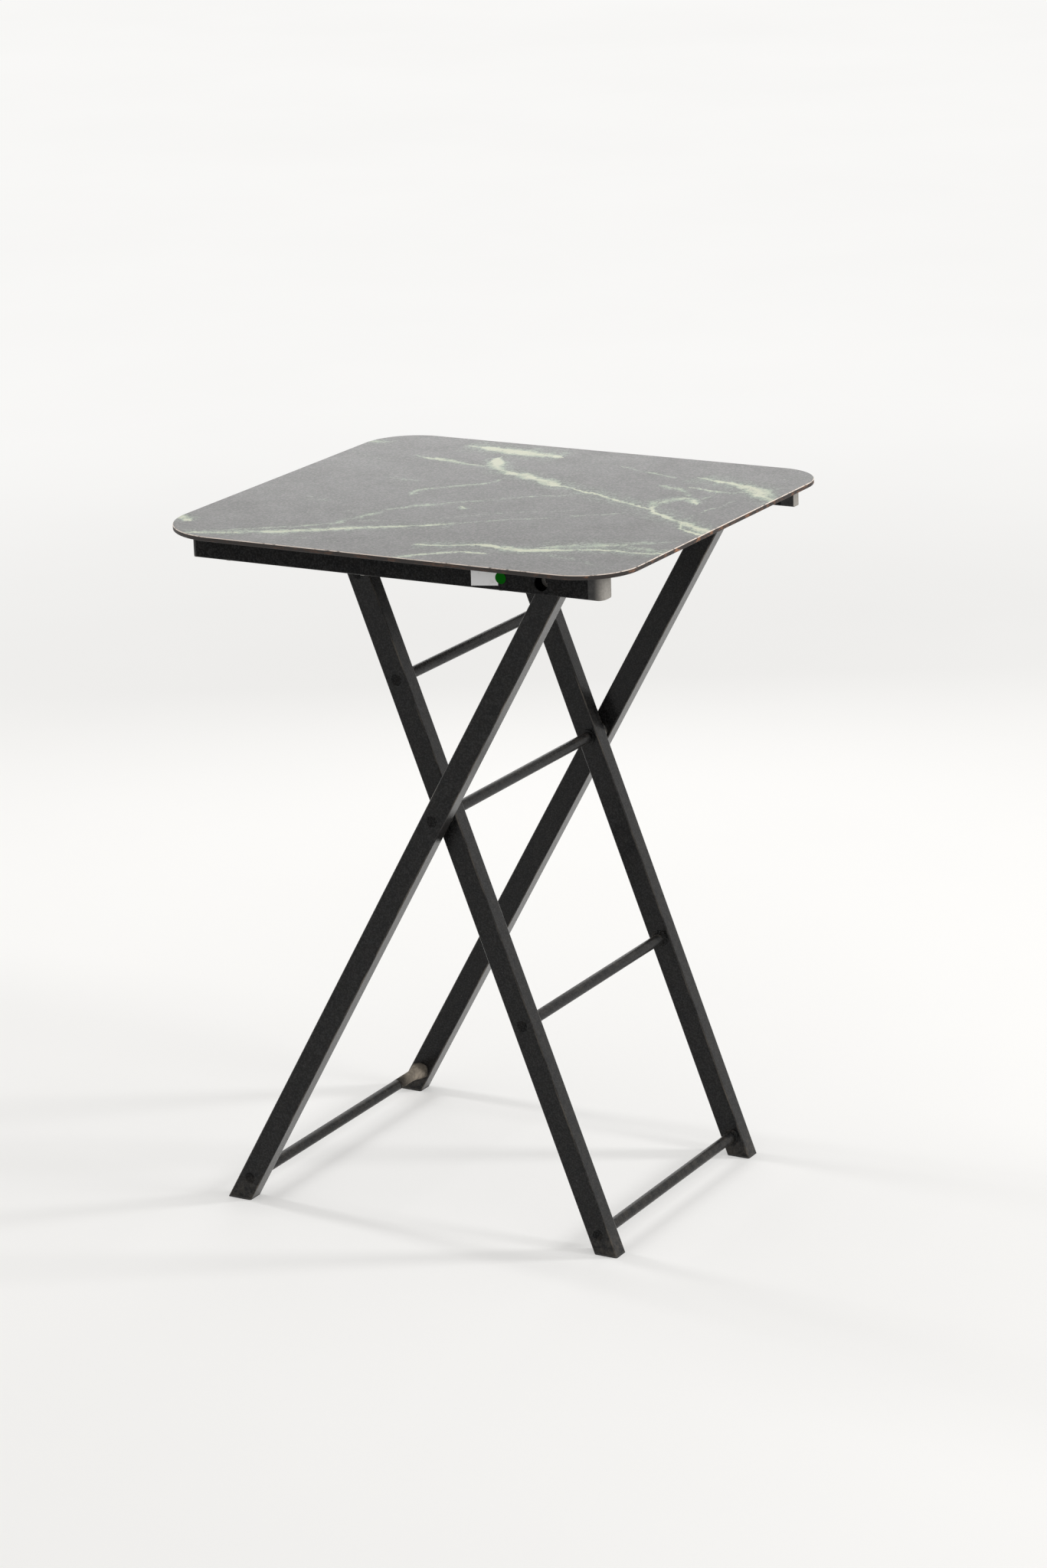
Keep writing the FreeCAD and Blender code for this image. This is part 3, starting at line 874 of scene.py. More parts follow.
@dataclass(frozen=True)
class StoneLaminate:
    """Compact laminate: satin stone print, pale rim, dark core and plain backing.

    Heights and depths are in metres. Each wave is its number per metre, and how far it pushes.
    """

    name: str = "stone_print_laminate"
    rise: float = 0.75
    thick: float = 0.005
    rim_deep: float = 0.0008
    print_deep: float = 0.00003
    backing_deep: float = 0.0004
    stone: Colour = (0.012, 0.0115, 0.011)
    # Pale fleck colour: print grain, and also painted glints in place of a sparkling surface.
    stone_light: Colour = (0.027, 0.026, 0.025)
    stone_fleck_and_glint: Colour = (0.092, 0.0875, 0.083)
    mist: Colour = (0.138, 0.176, 0.132)
    green: Colour = (0.225, 0.295, 0.210)
    pale: Colour = (0.47, 0.49, 0.35)
    rim: Colour = (0.80, 0.70, 0.62)
    core: Colour = (0.017, 0.012, 0.010)
    worn_core: Colour = (0.26, 0.115, 0.055)
    backing: Colour = (0.022, 0.018, 0.015)
    roughness: float = 0.36
    clouding: float = 0.12
    edge_roughness: float = 0.25
    relief: float = 0.45
    depth: float = 0.00010
    waves: tuple[tuple[float, float], ...] = ((28, 0.011), (110, 0.0095), (420, 0.0050))
    sand: Grain = Grain(470, 2, 0.6)
    sanded_and_glinting: Step = Step(0.43, 0.60)
    fraying: Grain = Grain(170, 7, 0.75)
    fray_gain: float = 2.6
    fray_loss: float = 1.55
    breaks: Grain = Grain(38, 4, 0.6, Step(0.36, 0.62, 0.58, 1.15))
    drifts: Grain = Grain(130, 8, 0.78)
    drift_gain: float = 4.6
    drift_loss: float = 1.60
    dots: Step = Step(0.40, 0.60, 0.35, 1.25)
    light_areas: Grain = Grain(14, 4, 0.55, Step(0.3, 0.75))
    wisps: Grain = Grain(34, 7, 0.72, Step(0.56, 0.74))
    wisp_scale: Point = (1.0, 7.0, 1.0)
    wisp_turn: float = 0.60
    wisp_share: float = 0.42
    printed_vein: Step = Step(0.10, 0.60)
    printed_haze: Step = Step(0.12, 0.80)
    vein_middle: Step = Step(0.25, 0.75)
    rim_skips: Grain = Grain(120, 5, 0.7, Step(0.28, 0.50))
    edge_rubs: Grain = Grain(60, 7, 0.75, Step(0.50, 0.68))
    edge_rub_scale: Point = (1, 1, 3)
    rubbed_end: Step = Step(0.20, 0.274, 0.25, 1.0)
    satin: Grain = Grain(520, 3, 0.7)
    sheen_clouds: Grain = Grain(30, 5, 0.6)

    def warped(self, bench: NodeBench, place: Socket) -> Socket:
        """Position pushed about at three sizes, so that veins wander and fray.

        Args:
            bench: the material's bench.
            place: position.

        Returns:
            The warped position.
        """
        result = place
        for scale, reach in self.waves:
            wave = bench.noise(place, scale, 2).outputs["Color"]
            push = bench.vector("SUBTRACT", wave, (0.5, 0.5, 0.5)).outputs[0]
            push = bench.vector("MULTIPLY", push, (reach, reach, 0.0)).outputs[0]
            result = bench.vector("ADD", result, push).outputs[0]
        return result

    def print_colour(self, bench: NodeBench, place: Socket) -> Socket:
        """Colour of the stone print.

        Args:
            bench: the material's bench.
            place: position.

        Returns:
            The print's colour.
        """
        warped = self.warped(bench, place)
        fields = [vein.field(bench, warped) for vein in VEINS]
        core = bench.largest([field[0] for field in fields])
        halo = bench.largest([field[1] for field in fields])
        sand = self.sand.at(bench, place)
        base = self.stone_colour(bench, place, sand)
        patchy = bench.ramp(self.drifts.at(bench, place), self.drift_gain, -self.drift_loss)
        drift = bench.times(halo, patchy)
        haze = self.printed_haze.of(bench, bench.times(drift, self.dots.of(bench, sand)))
        base = bench.blend(haze, base, self.mist)
        ragged = bench.math("ADD", self.fraying.at(bench, place), sand)
        broken = self.breaks.at(bench, place)
        line = bench.times(core, bench.ramp(ragged, self.fray_gain, -self.fray_loss), broken)
        middle = self.vein_middle.of(bench, bench.times(core, broken))
        vein = bench.blend(middle, self.green, self.pale)
        return bench.blend(self.printed_vein.of(bench, line), base, vein)

    def stone_colour(self, bench: NodeBench, place: Socket, sand: Socket) -> Socket:
        """Colour of the stone between the veins, with its sandy grain, whose pale flecks are also
        painted glints, and pale wisps.

        Args:
            bench: the material's bench.
            place: position.
            sand: the fine grain there.

        Returns:
            The stone's colour.
        """
        colour = bench.blend(self.light_areas.at(bench, place), self.stone, self.stone_light)
        # Pale sandy flecks: print grain, and also painted glints.
        colour = bench.blend(self.sanded_and_glinting.of(bench, sand), colour, self.stone_fleck_and_glint)
        along = bench.stretch(place, self.wisp_scale, (0, 0, self.wisp_turn))
        wisps = bench.times(self.wisps.at(bench, along), self.wisp_share)
        return bench.blend(wisps, colour, self.mist)

    def edge_colour(self, bench: NodeBench, place: Socket) -> Socket:
        """Colour of the core on the edge, worn to rust brown at the hinge end.

        Args:
            bench: the material's bench.
            place: position.

        Returns:
            The edge's colour.
        """
        east = self.rubbed_end.of(bench, bench.axes(place)[0])
        rubbed = self.edge_rubs.at(bench, bench.stretch(place, self.edge_rub_scale))
        return bench.blend(bench.times(rubbed, east), self.core, self.worn_core)

    def make(self) -> bpy.types.Material:
        """Build the material.

        Returns:
            The material.
        """
        material, bench = new_material(self.name)
        place = bench.place()
        height = bench.axes(place)[2]
        on_rim = bench.math("GREATER_THAN", height, self.rise - self.rim_deep)
        on_top = bench.math("GREATER_THAN", height, self.rise - self.print_deep)
        on_back = bench.math("LESS_THAN", height, self.rise - self.thick + self.backing_deep)
        rim = bench.blend(self.rim_skips.at(bench, place), self.core, self.rim)
        colour = bench.blend(on_rim, self.edge_colour(bench, place), rim)
        colour = bench.blend(on_back, colour, self.backing)
        colour = bench.blend(on_top, colour, self.print_colour(bench, place))
        smoothest = self.roughness - self.clouding / 2
        rough = bench.ramp(self.sheen_clouds.at(bench, place), self.clouding, smoothest)
        edge_rough = bench.ramp(on_top, -self.edge_roughness, self.edge_roughness)
        bench.surface({
            "Base Color": colour,
            "Roughness": bench.math("ADD", rough, edge_rough),
            "Normal": bench.bump(self.satin.at(bench, place), self.depth, self.relief),
        })
        return material


# ---- meshes ---------------------------------------------------------------------------------
def new_piece(name: str, work: bmesh.types.BMesh, finish: bpy.types.Material, body: Body,
              smooth: bool = True) -> None:
    """Turn a mesh in the making into a piece that rides on a body.

    Args:
        name: the piece's name.
        work: its mesh, which is freed.
        finish: its material.
        body: the body that it rides on.
        smooth: shade it smooth, apart from its sharp edges.
    """
    bmesh.ops.recalc_face_normals(work, faces=work.faces)
    mesh = bpy.data.meshes.new(name)
    work.to_mesh(mesh)
    work.free()
    mesh.materials.append(finish)
    piece = bpy.data.objects.new(name, mesh)
    bpy.context.scene.collection.objects.link(piece)
    if smooth:
        mesh.shade_smooth()
        mesh.set_sharp_from_angle(angle=SHARP_EDGE)
    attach(piece, body.value)
    LOG.info("made %s", name)


def add_rings(work: bmesh.types.BMesh, rings: Sequence[Sequence[Vector]], closed: bool) -> None:
    """Skin a run of point rings with quads.

    Args:
        work: mesh to add to.
        rings: rings of equal length.
        closed: join the last ring to the first; otherwise cap both ends.
    """
    loops = [[work.verts.new(point) for point in ring] for ring in rings]
    pairs = list(zip(loops[:-1], loops[1:]))
    if closed:
        pairs.append((loops[-1], loops[0]))
    for low, high in pairs:
        bridge(work, low, high)
    if not closed:
        work.faces.new(loops[0])
        work.faces.new(loops[-1])


def bridge(work: bmesh.types.BMesh, low: Loop, high: Loop) -> None:
    """Join two closed loops of vertices with a band of quads.

    Args:
        work: mesh to add to.
        low: the first loop.
        high: the second one, of equal length.
    """
    for k in range(len(low)):
        after = (k + 1) % len(low)
        work.faces.new((low[k], low[after], high[after], high[k]))


def ring_turns(count: int) -> list[float]:
    """Angles of so many equal steps round a ring."""
    return [WHOLE_TURN * k / count for k in range(count)]


def round_bar(centre: Vector, radius: float, turn: float, out: float) -> Vector:
    """Point round a bar that lies along Y.

    Args:
        centre: point on the bar's axis.
        radius: distance from the axis.
        turn: angle round it.
        out: distance along Y from the centre.

    Returns:
        The point.
    """
    return centre + Vector((radius * math.cos(turn), out, radius * math.sin(turn)))


def lump(turn: float, reach: float, row: float) -> float:
    """Smooth unevenness round a bar, the same after a whole turn.

    Args:
        turn: angle round the bar.
        reach: how many lumps there are round it, roughly.
        row: another row gives other lumps.

    Returns:
        A number of either sign, mostly under 0.5.
    """
    return noise.noise(Vector((reach * math.cos(turn), reach * math.sin(turn), row)))


def node_centre(node: str) -> Vector:
    """Middle of a node's box."""
    low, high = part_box(node)
    return (Vector(low) + Vector(high)) / 2


@dataclass(frozen=True)
class WeldRun:
    """Fillet weld round a bar where it meets a leg's flat face.

    The lumps and ripples are counts round the bar; the swells multiply the unevenness.
    """

    bar_r: float = 0.006
    leg_length: float = 0.0034
    throat: float = 0.0030
    steps: int = 48
    uneven: float = 0.0006
    lumps: float = 2.2
    seed_step: float = 3.7
    leg_swell: float = 1.6
    bar_swell: float = 1.4
    ripples: int = 15
    ripple_high: float = 0.00022
    bar_ripple: float = 0.7
    into_bar: float = 0.0004
    into_leg: float = 0.0003
    hollow: float = 1.2
    face_turns: tuple[float, ...] = (0.0, 0.35, 0.7, 1.05, 1.35, math.pi / 2)

    def add(self, work: bmesh.types.BMesh, centre: Vector, outward: float, seed: int) -> None:
        """Add the weld to a mesh.

        Args:
            work: mesh to add to.
            centre: where the bar's axis meets the leg's face.
            outward: sign of Y away from the leg.
            seed: changes the unevenness.
        """
        rings = []
        for turn in ring_turns(self.steps):
            swell = self.uneven * lump(turn, self.lumps, seed * self.seed_step)
            ripple = self.ripple_high * math.sin(self.ripples * turn + seed)
            wide = self.leg_length + self.leg_swell * swell + ripple
            high = self.throat + self.bar_swell * swell + self.bar_ripple * ripple
            rings.append([round_bar(centre, radius, turn, outward * out)
                          for radius, out in self.profile(wide, high)])
        add_rings(work, rings, closed=True)

    def profile(self, wide: float, high: float) -> list[tuple[float, float]]:
        """Cross-section of the weld as radius and distance from the leg.

        Args:
            wide: length of the weld's foot on the leg.
            high: length of its foot on the bar.

        Returns:
            The points of a closed outline.
        """
        inside = self.bar_r - self.into_bar
        toe = self.bar_r + wide
        face = [(self.bar_r + wide * math.cos(a) ** self.hollow, high * math.sin(a) ** self.hollow)
                for a in self.face_turns]
        return [(inside, -self.into_leg), (toe, -self.into_leg), *face, (inside, high)]


@dataclass(frozen=True)
class PlugWeld:
    """Low ground-off weld where a bar's end shows on the outside of a leg.

    Each row is a ring, as shares of the radius and of the height that it stands proud.
    """

    radius: float = 0.0062
    proud: float = 0.00035
    rows: tuple[tuple[float, float], ...] = (
        (1.0, -0.4), (1.0, 0.1), (0.9, 0.75), (0.72, 1.0), (0.45, 0.75), (0.15, 0.55))
    steps: int = 36
    lumps: float = 3
    seed_step: float = 1.9
    lumps_inward: float = 4
    ragged: float = 0.10
    uneven: float = 0.35
    even_up_to: float = 0.2

    def add(self, work: bmesh.types.BMesh, centre: Vector, outward: float, seed: int) -> None:
        """Add the weld to a mesh.

        Args:
            work: mesh to add to.
            centre: where the bar's axis meets the leg's outer face.
            outward: sign of Y away from the leg.
            seed: changes the unevenness.
        """
        rings = []
        for share, rise in self.rows:
            uneven = self.uneven * (rise > self.even_up_to)
            ring = []
            for turn in ring_turns(self.steps):
                bump = lump(turn, self.lumps, seed * self.seed_step + self.lumps_inward * share)
                radius = self.radius * share * (1 + self.ragged * bump)
                out = self.proud * (rise + uneven * bump)
                ring.append(round_bar(centre, radius, turn, outward * out))
            rings.append(ring)
        add_rings(work, rings, closed=False)


@dataclass(frozen=True)
class PanScrew:
    """Pan head screw with a hexagon socket, head downward.

    The dome's rings are shares of the head's radius and height.
    """

    head_r: float = 0.0040
    head_high: float = 0.0022
    socket_r: float = 0.0014
    socket_deep: float = 0.0012
    dome: tuple[tuple[float, float], ...] = (
        (1.0, -0.10), (1.0, 0.30), (0.96, 0.62), (0.84, 0.86), (0.66, 0.97), (0.50, 1.0))
    steps: int = 24

    def add(self, work: bmesh.types.BMesh, seat: Vector, turned: float) -> None:
        """Add the head to a mesh.

        Args:
            work: mesh to add to.
            seat: middle of the head's seat; the head hangs below it.
            turned: how far the socket is turned, in radians.
        """
        rings = [self.round_ring(seat, self.head_r * wide, self.head_high * down)
                 for wide, down in self.dome]
        for down in (self.head_high, self.head_high - self.socket_deep):
            rings.append(self.socket_ring(seat, down, turned))
        add_rings(work, rings, closed=False)

    def round_ring(self, seat: Vector, radius: float, down: float) -> list[Vector]:
        """Ring of points round the screw's axis.

        Args:
            seat: middle of the head's seat.
            radius: ring's radius.
            down: distance below the seat.

        Returns:
            The ring.
        """
        return [seat + Vector((radius * math.cos(turn), radius * math.sin(turn), -down))
                for turn in ring_turns(self.steps)]

    def socket_ring(self, seat: Vector, down: float, turned: float) -> list[Vector]:
        """Ring of points on the socket's hexagon.

        Args:
            seat: middle of the head's seat.
            down: distance below the seat.
            turned: how far the socket is turned, in radians.

        Returns:
            The ring.
        """
        ring = []
        for turn in ring_turns(self.steps):
            off_flat = turn % (WHOLE_TURN / 6) - WHOLE_TURN / 12
            radius = self.socket_r / math.cos(off_flat)
            x, y = radius * math.cos(turn + turned), radius * math.sin(turn + turned)
            ring.append(seat + Vector((x, y, -down)))
        return ring


# ---- sub-assemblies -------------------------------------------------------------------------
@dataclass
class Finishes:
    """The materials that the sub-assemblies share."""

    coat: bpy.types.Material
    outer_coat: bpy.types.Material
    inner_coat: bpy.types.Material
    bar_coat: bpy.types.Material
    dusty_weld: bpy.types.Material
    plastic: bpy.types.Material
    dusty_plastic: bpy.types.Material
    zinc: bpy.types.Material
    laminate: bpy.types.Material
    paper: bpy.types.Material
    green_dot: bpy.types.Material

    @classmethod
    def mixed(cls) -> "Finishes":
        """Make every finish.

        Returns:
            The set of finishes.
        """
        return cls(
            coat=PowderCoat().make(),
            # The legs' pale rounded edges are wear and also a painted edge highlight.
            outer_coat=PowderCoat("outer_powder_coat", specular=0.08, gloss=1.0,
                                  lean=OUTER_LEAN, wear=0.55).make(),
            inner_coat=PowderCoat("inner_powder_coat", specular=0.08, gloss=1.0,
                                  lean=INNER_LEAN, wear=0.30).make(),
            bar_coat=PowderCoat("bar_powder_coat", specular=0.20, gloss=0.0, roughness=0.36).make(),
            dusty_weld=CakedCoat().make(),
            plastic=MouldedPlastic().make(),
            # Rail noses: dust, and ends rubbed grey, which is also a painted highlight.
            dusty_plastic=MouldedPlastic("dusty_plastic", dust=(0.34, 0.32, 0.29), end_share=0.9,
                                         roughness=0.6).make(),
            zinc=ZincPlate().make(),
            laminate=StoneLaminate().make(),
            paper=Paper().make(),
            green_dot=Paper("green_paper", sheet=(0.0003, 0.10, 0.0010),
                            soiled=(0.0003, 0.075, 0.0008), specular=0.04).make(),
        )


def dress(nodes: Sequence[str], finish: bpy.types.Material) -> None:
    """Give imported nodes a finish.

    Args:
        nodes: names of the nodes.
        finish: their material.
    """
    for name in nodes:
        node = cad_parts[name]
        for slot in node.material_slots:
            slot.material = finish
        LOG.info("dressed %s in %s", name, finish.name)


def both_sides(stem: str) -> list[str]:
    """Names of a front node and its rear one."""
    return [f"{stem}_{side.word}" for side in Side]


@dataclass
class LegFrame:
    """One of the two leg frames: its legs, plugs, bars, and the welds that hold the bars."""

    body: Body
    legs: str
    plain_bars: tuple[str, ...]
    plugs: tuple[str, ...]
    hidden_weld_bars: tuple[str, ...] = ()
    weld: WeldRun = WeldRun()
    plug_weld: PlugWeld = PlugWeld()
    side_seed: int = 11
    side_plug_seed: int = 5

    def faces(self, side: Side) -> tuple[float, float]:
        """Flat faces of a leg.

        Args:
            side: front or rear leg.

        Returns:
            Y of its inner face and of its outer face.
        """
        low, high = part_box(f"{self.legs}_{side.word}")
        return (high[1], low[1]) if side is Side.FRONT else (low[1], high[1])

    def build(self, finishes: Finishes) -> None:
        """Dress the frame's nodes, and add its welds.

        Args:
            finishes: the shared materials.
        """
        is_outer = self.body is Body.OUTER
        dress(both_sides(self.legs), finishes.outer_coat if is_outer else finishes.inner_coat)
        dress(self.plain_bars + self.hidden_weld_bars, finishes.bar_coat)
        for stem in self.plugs:
            dress(both_sides(stem), finishes.plastic)
        for side in Side:
            inner, outer = self.faces(side)
            self.fillet_welds(side, inner, finishes)
            self.plug_welds(side, outer, finishes)

    def fillet_welds(self, side: Side, face: float, finishes: Finishes) -> None:
        """Welds round the bars on the inside of a leg.

        Args:
            side: front or rear leg.
            face: Y of its inner face.
            finishes: the shared materials.
        """
        for number, bar in enumerate(self.plain_bars):
            work = bmesh.new()
            centre = node_centre(bar)
            seed = number + self.side_seed * side.value
            self.weld.add(work, Vector((centre.x, face, centre.z)), -side.value, seed)
            name = f"weld_{bar}_{side.word}"
            new_piece(name, work, finishes.coat, self.body)

    def plug_welds(self, side: Side, face: float, finishes: Finishes) -> None:
        """Ground welds on the outside of a leg, one mesh for each leg.

        Args:
            side: front or rear leg.
            face: Y of its outer face.
            finishes: the shared materials.
        """
        work = bmesh.new()
        for number, bar in enumerate(self.plain_bars + self.hidden_weld_bars):
            centre = node_centre(bar)
            seed = number + self.side_plug_seed * side.value
            self.plug_weld.add(work, Vector((centre.x, face, centre.z)), side.value, seed)
        name = f"plug_welds_{self.legs}_{side.word}"
        new_piece(name, work, finishes.coat, self.body)


@dataclass
class DirtyWeld:
    """Heavy weld at the rear end of the outer frame's bottom bar, caked with dust.

    The inner foot passes close to the bar when the scissor folds, so the lump is flat on that side.
    """

    bar: str = "outer_bottom_rung"
    length: float = 0.052
    base_r: float = 0.0102
    tip_r: float = 0.0061
    thinning: float = 2.3
    taper: float = 1.6
    rows: int = 24
    steps: int = 40
    lumps: float = 1.7
    lumps_along: float = 3.1
    first_row: float = 7
    lump_share: float = 0.16
    grit: float = 6
    grit_along: float = 12
    grit_share: float = 0.05
    into_leg: float = 0.0003
    floor_gap: float = 0.004
    pass_turn: float = math.radians(39.7)
    pass_gap: float = 0.0066
    pass_y: float = 0.1635

    def build(self, finishes: Finishes, face: float) -> None:
        """Add the lump.

        Args:
            finishes: the shared materials.
            face: Y of the rear leg's inner face.
        """
        centre = node_centre(self.bar)
        rings = []
        for row in range(self.rows + 1):
            share = row / self.rows
            y = face + self.into_leg - self.length * share
            ring = []
            for turn in ring_turns(self.steps):
                radius = min(self.swollen(share, turn), centre.z - self.floor_gap)
                toward_foot = math.cos(turn - self.pass_turn)
                if y < self.pass_y and toward_foot > 0:
                    radius = min(radius, self.pass_gap / toward_foot)
                x, z = centre.x + radius * math.cos(turn), centre.z + radius * math.sin(turn)
                ring.append(Vector((x, y, z)))
            rings.append(ring)
        work = bmesh.new()
        add_rings(work, rings, closed=False)
        new_piece("dirty_weld", work, finishes.dusty_weld, Body.OUTER)

    def swollen(self, share: float, turn: float) -> float:
        """Radius of the lump, before it is kept clear of the floor and of the foot.

        Args:
            share: place along it, from 0 at the leg to 1.
            turn: angle round the bar.

        Returns:
            The radius.
        """
        heavy = max(0.0, 1 - self.thinning * share)
        radius = self.tip_r + (self.base_r - self.tip_r) * heavy ** self.taper
        lumpy = self.lump_share * lump(turn, self.lumps, self.lumps_along * share + self.first_row)
        gritty = self.grit_share * lump(turn, self.grit, self.grit_along * share)
        return radius * (1 + (lumpy + gritty) * heavy)


@dataclass
class ScissorShaft:
    """Spacers and keepers of the shaft that the frames turn on."""

    def build(self, finishes: Finishes) -> None:
        """Dress their nodes."""
        dress(["pivot_spacers"], finishes.zinc)
        dress(["pivot_keepers"], finishes.bar_coat)


@dataclass
class TopHinge:
    """Bolts, sleeves and nuts that the top turns on."""

    def build(self, finishes: Finishes) -> None:
        """Dress the hinge's nodes."""
        dress(["hinge_bolts", "hinge_sleeves", "hinge_nuts"], finishes.zinc)


@dataclass
class TableTop:
    """Panel, rails with their end mouldings, hooks, and the screws under them."""

    rail_screw_x: tuple[float, ...] = (-0.190, -0.030, 0.130)
    rail_screw_turn: float = 0.7
    hook_screw_spread: float = 0.0068
    hook_screw_turn: float = 0.4
    flange_in: float = 0.010
    flange_thick: float = 0.003
    screw: PanScrew = PanScrew()

    def build(self, finishes: Finishes) -> None:
        """Dress the top's nodes, and add the screws.

        Args:
            finishes: the shared materials.
        """
        dress(["tabletop_panel"], finishes.laminate)
        dress(both_sides("rail") + both_sides("catch_hook"), finishes.coat)
        dress(both_sides("rail_nose"), finishes.dusty_plastic)
        dress(both_sides("rail_cap"), finishes.plastic)
        for side in Side:
            self.rail_screws(side, finishes)
            self.hook_screws(side, finishes)

    def rail_screws(self, side: Side, finishes: Finishes) -> None:
        """Screws up through a rail.

        Args:
            side: front or rear rail.
            finishes: the shared materials.
        """
        low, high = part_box(f"rail_{side.word}")
        work = bmesh.new()
        for number, x in enumerate(self.rail_screw_x):
            seat = Vector((x, (low[1] + high[1]) / 2, low[2]))
            self.screw.add(work, seat, self.rail_screw_turn * number)
        new_piece(f"rail_screws_{side.word}", work, finishes.zinc, Body.TOP)

    def hook_screws(self, side: Side, finishes: Finishes) -> None:
        """Screws up through a hook's flange.

        Args:
            side: front or rear hook.
            finishes: the shared materials.
        """
        low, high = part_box(f"catch_hook_{side.word}")
        flange_y = side.value * (min(abs(low[1]), abs(high[1])) + self.flange_in)
        middle = (low[0] + high[0]) / 2
        work = bmesh.new()
        for number, step in enumerate((-self.hook_screw_spread, self.hook_screw_spread)):
            seat = Vector((middle + step, flange_y, high[2] - self.flange_thick))
            self.screw.add(work, seat, self.hook_screw_turn + number)
        new_piece(f"hook_screws_{side.word}", work, finishes.zinc, Body.TOP)


@dataclass
class StockSticker:
    """Blank sticker and plain green dot on the outside of the front rail.

    The dot's rings are shares of its radius and thickness.
    """

    left: float = 0.1011
    right: float = 0.1317
    low: float = 0.7222
    high: float = 0.7379
    tilt: float = math.radians(5.5)
    columns: int = 16
    rows: int = 9
    curl: float = 0.0009
    curl_from: float = 1.62
    curl_power: float = 1.5
    dot_x: float = 0.1347
    dot_z: float = 0.7331
    dot_r: float = 0.0060
    dot_rings: tuple[tuple[float, float], ...] = ((1.0, 0.0), (1.0, 1.0), (0.5, 1.15))
    dot_steps: int = 48
    thick: float = 0.00012

    def build(self, finishes: Finishes) -> None:
        """Add the sticker and the dot.

        Args:
            finishes: the shared materials.
        """
        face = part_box("rail_front")[0][1]
        self.sheet(face, finishes.paper)
        self.dot(face - self.thick, finishes.green_dot)

    def sheet(self, face: float, finish: bpy.types.Material) -> None:
        """Sticker with one corner a little lifted.

        Args:
            face: Y of the rail's outer face.
            finish: the paper.
        """
        work = bmesh.new()
        back, front = (self.grid(work, face - off) for off in (0.0, self.thick))
        for grid in (back, front):
            for low, high in zip(grid[:-1], grid[1:]):
                for k in range(self.columns):
                    work.faces.new((low[k], low[k + 1], high[k + 1], high[k]))
        bridge(work, self.rim(back), self.rim(front))
        new_piece("blank_sticker", work, finish, Body.TOP, smooth=False)

    def grid(self, work: bmesh.types.BMesh, face: float) -> Grid:
        """Rows of vertices over the sticker.

        Args:
            work: mesh to add to.
            face: Y where the sticker lies flat.

        Returns:
            The rows, from the lowest up.
        """
        rows = []
        for row in range(self.rows + 1):
            line = []
            for column in range(self.columns + 1):
                u, v = column / self.columns, row / self.rows
                lift = self.curl * max(0.0, (1 - u) + (1 - v) - self.curl_from) ** self.curl_power
                x = self.left + (self.right - self.left) * u
                z = self.low + (self.high - self.low) * v + (x - self.left) * math.tan(self.tilt)
                line.append(work.verts.new((x, face - lift, z)))
            rows.append(line)
        return rows

    def rim(self, grid: Grid) -> Loop:
        """Vertices round the edge of a grid.

        Args:
            grid: its rows.

        Returns:
            The closed loop.
        """
        there = grid[0][:-1] + [line[-1] for line in grid[:-1]]
        return there + grid[-1][:0:-1] + [line[0] for line in grid[:0:-1]]

    def dot(self, face: float, finish: bpy.types.Material) -> None:
        """Green dot, partly over the sticker.

        Args:
            face: Y that the dot lies on.
            finish: the green paper.
        """
        rings = []
        for wide, out in self.dot_rings:
            radius, y = self.dot_r * wide, face - self.thick * out
            rings.append([Vector((self.dot_x + radius * math.cos(turn), y,
                                  self.dot_z + radius * math.sin(turn)))
                          for turn in ring_turns(self.dot_steps)])
        work = bmesh.new()
        add_rings(work, rings, closed=False)
        new_piece("green_dot", work, finish, Body.TOP)


# ---- studio ---------------------------------------------------------------------------------
@dataclass
class Softbox:
    """Soft lamp that faces a point."""

    name: str
    place: Point
    wide: float
    tall: float
    watts: float
    aim: Point = (0.0, 0.0, 0.4)
    mirrored: bool = True

    def build(self) -> None:
        """Add the lamp."""
        data = bpy.data.lights.new(self.name, "AREA")
        data.shape = "RECTANGLE"
        data.size, data.size_y = self.wide, self.tall
        data.energy = self.watts
        lamp = bpy.data.objects.new(self.name, data)
        lamp.location = self.place
        toward = Vector(self.aim) - Vector(self.place)
        lamp.rotation_euler = toward.to_track_quat("-Z", "Y").to_euler()
        lamp.visible_camera = False
        lamp.visible_glossy = self.mirrored
        bpy.context.scene.collection.objects.link(lamp)
        LOG.info("lit %s", self.name)


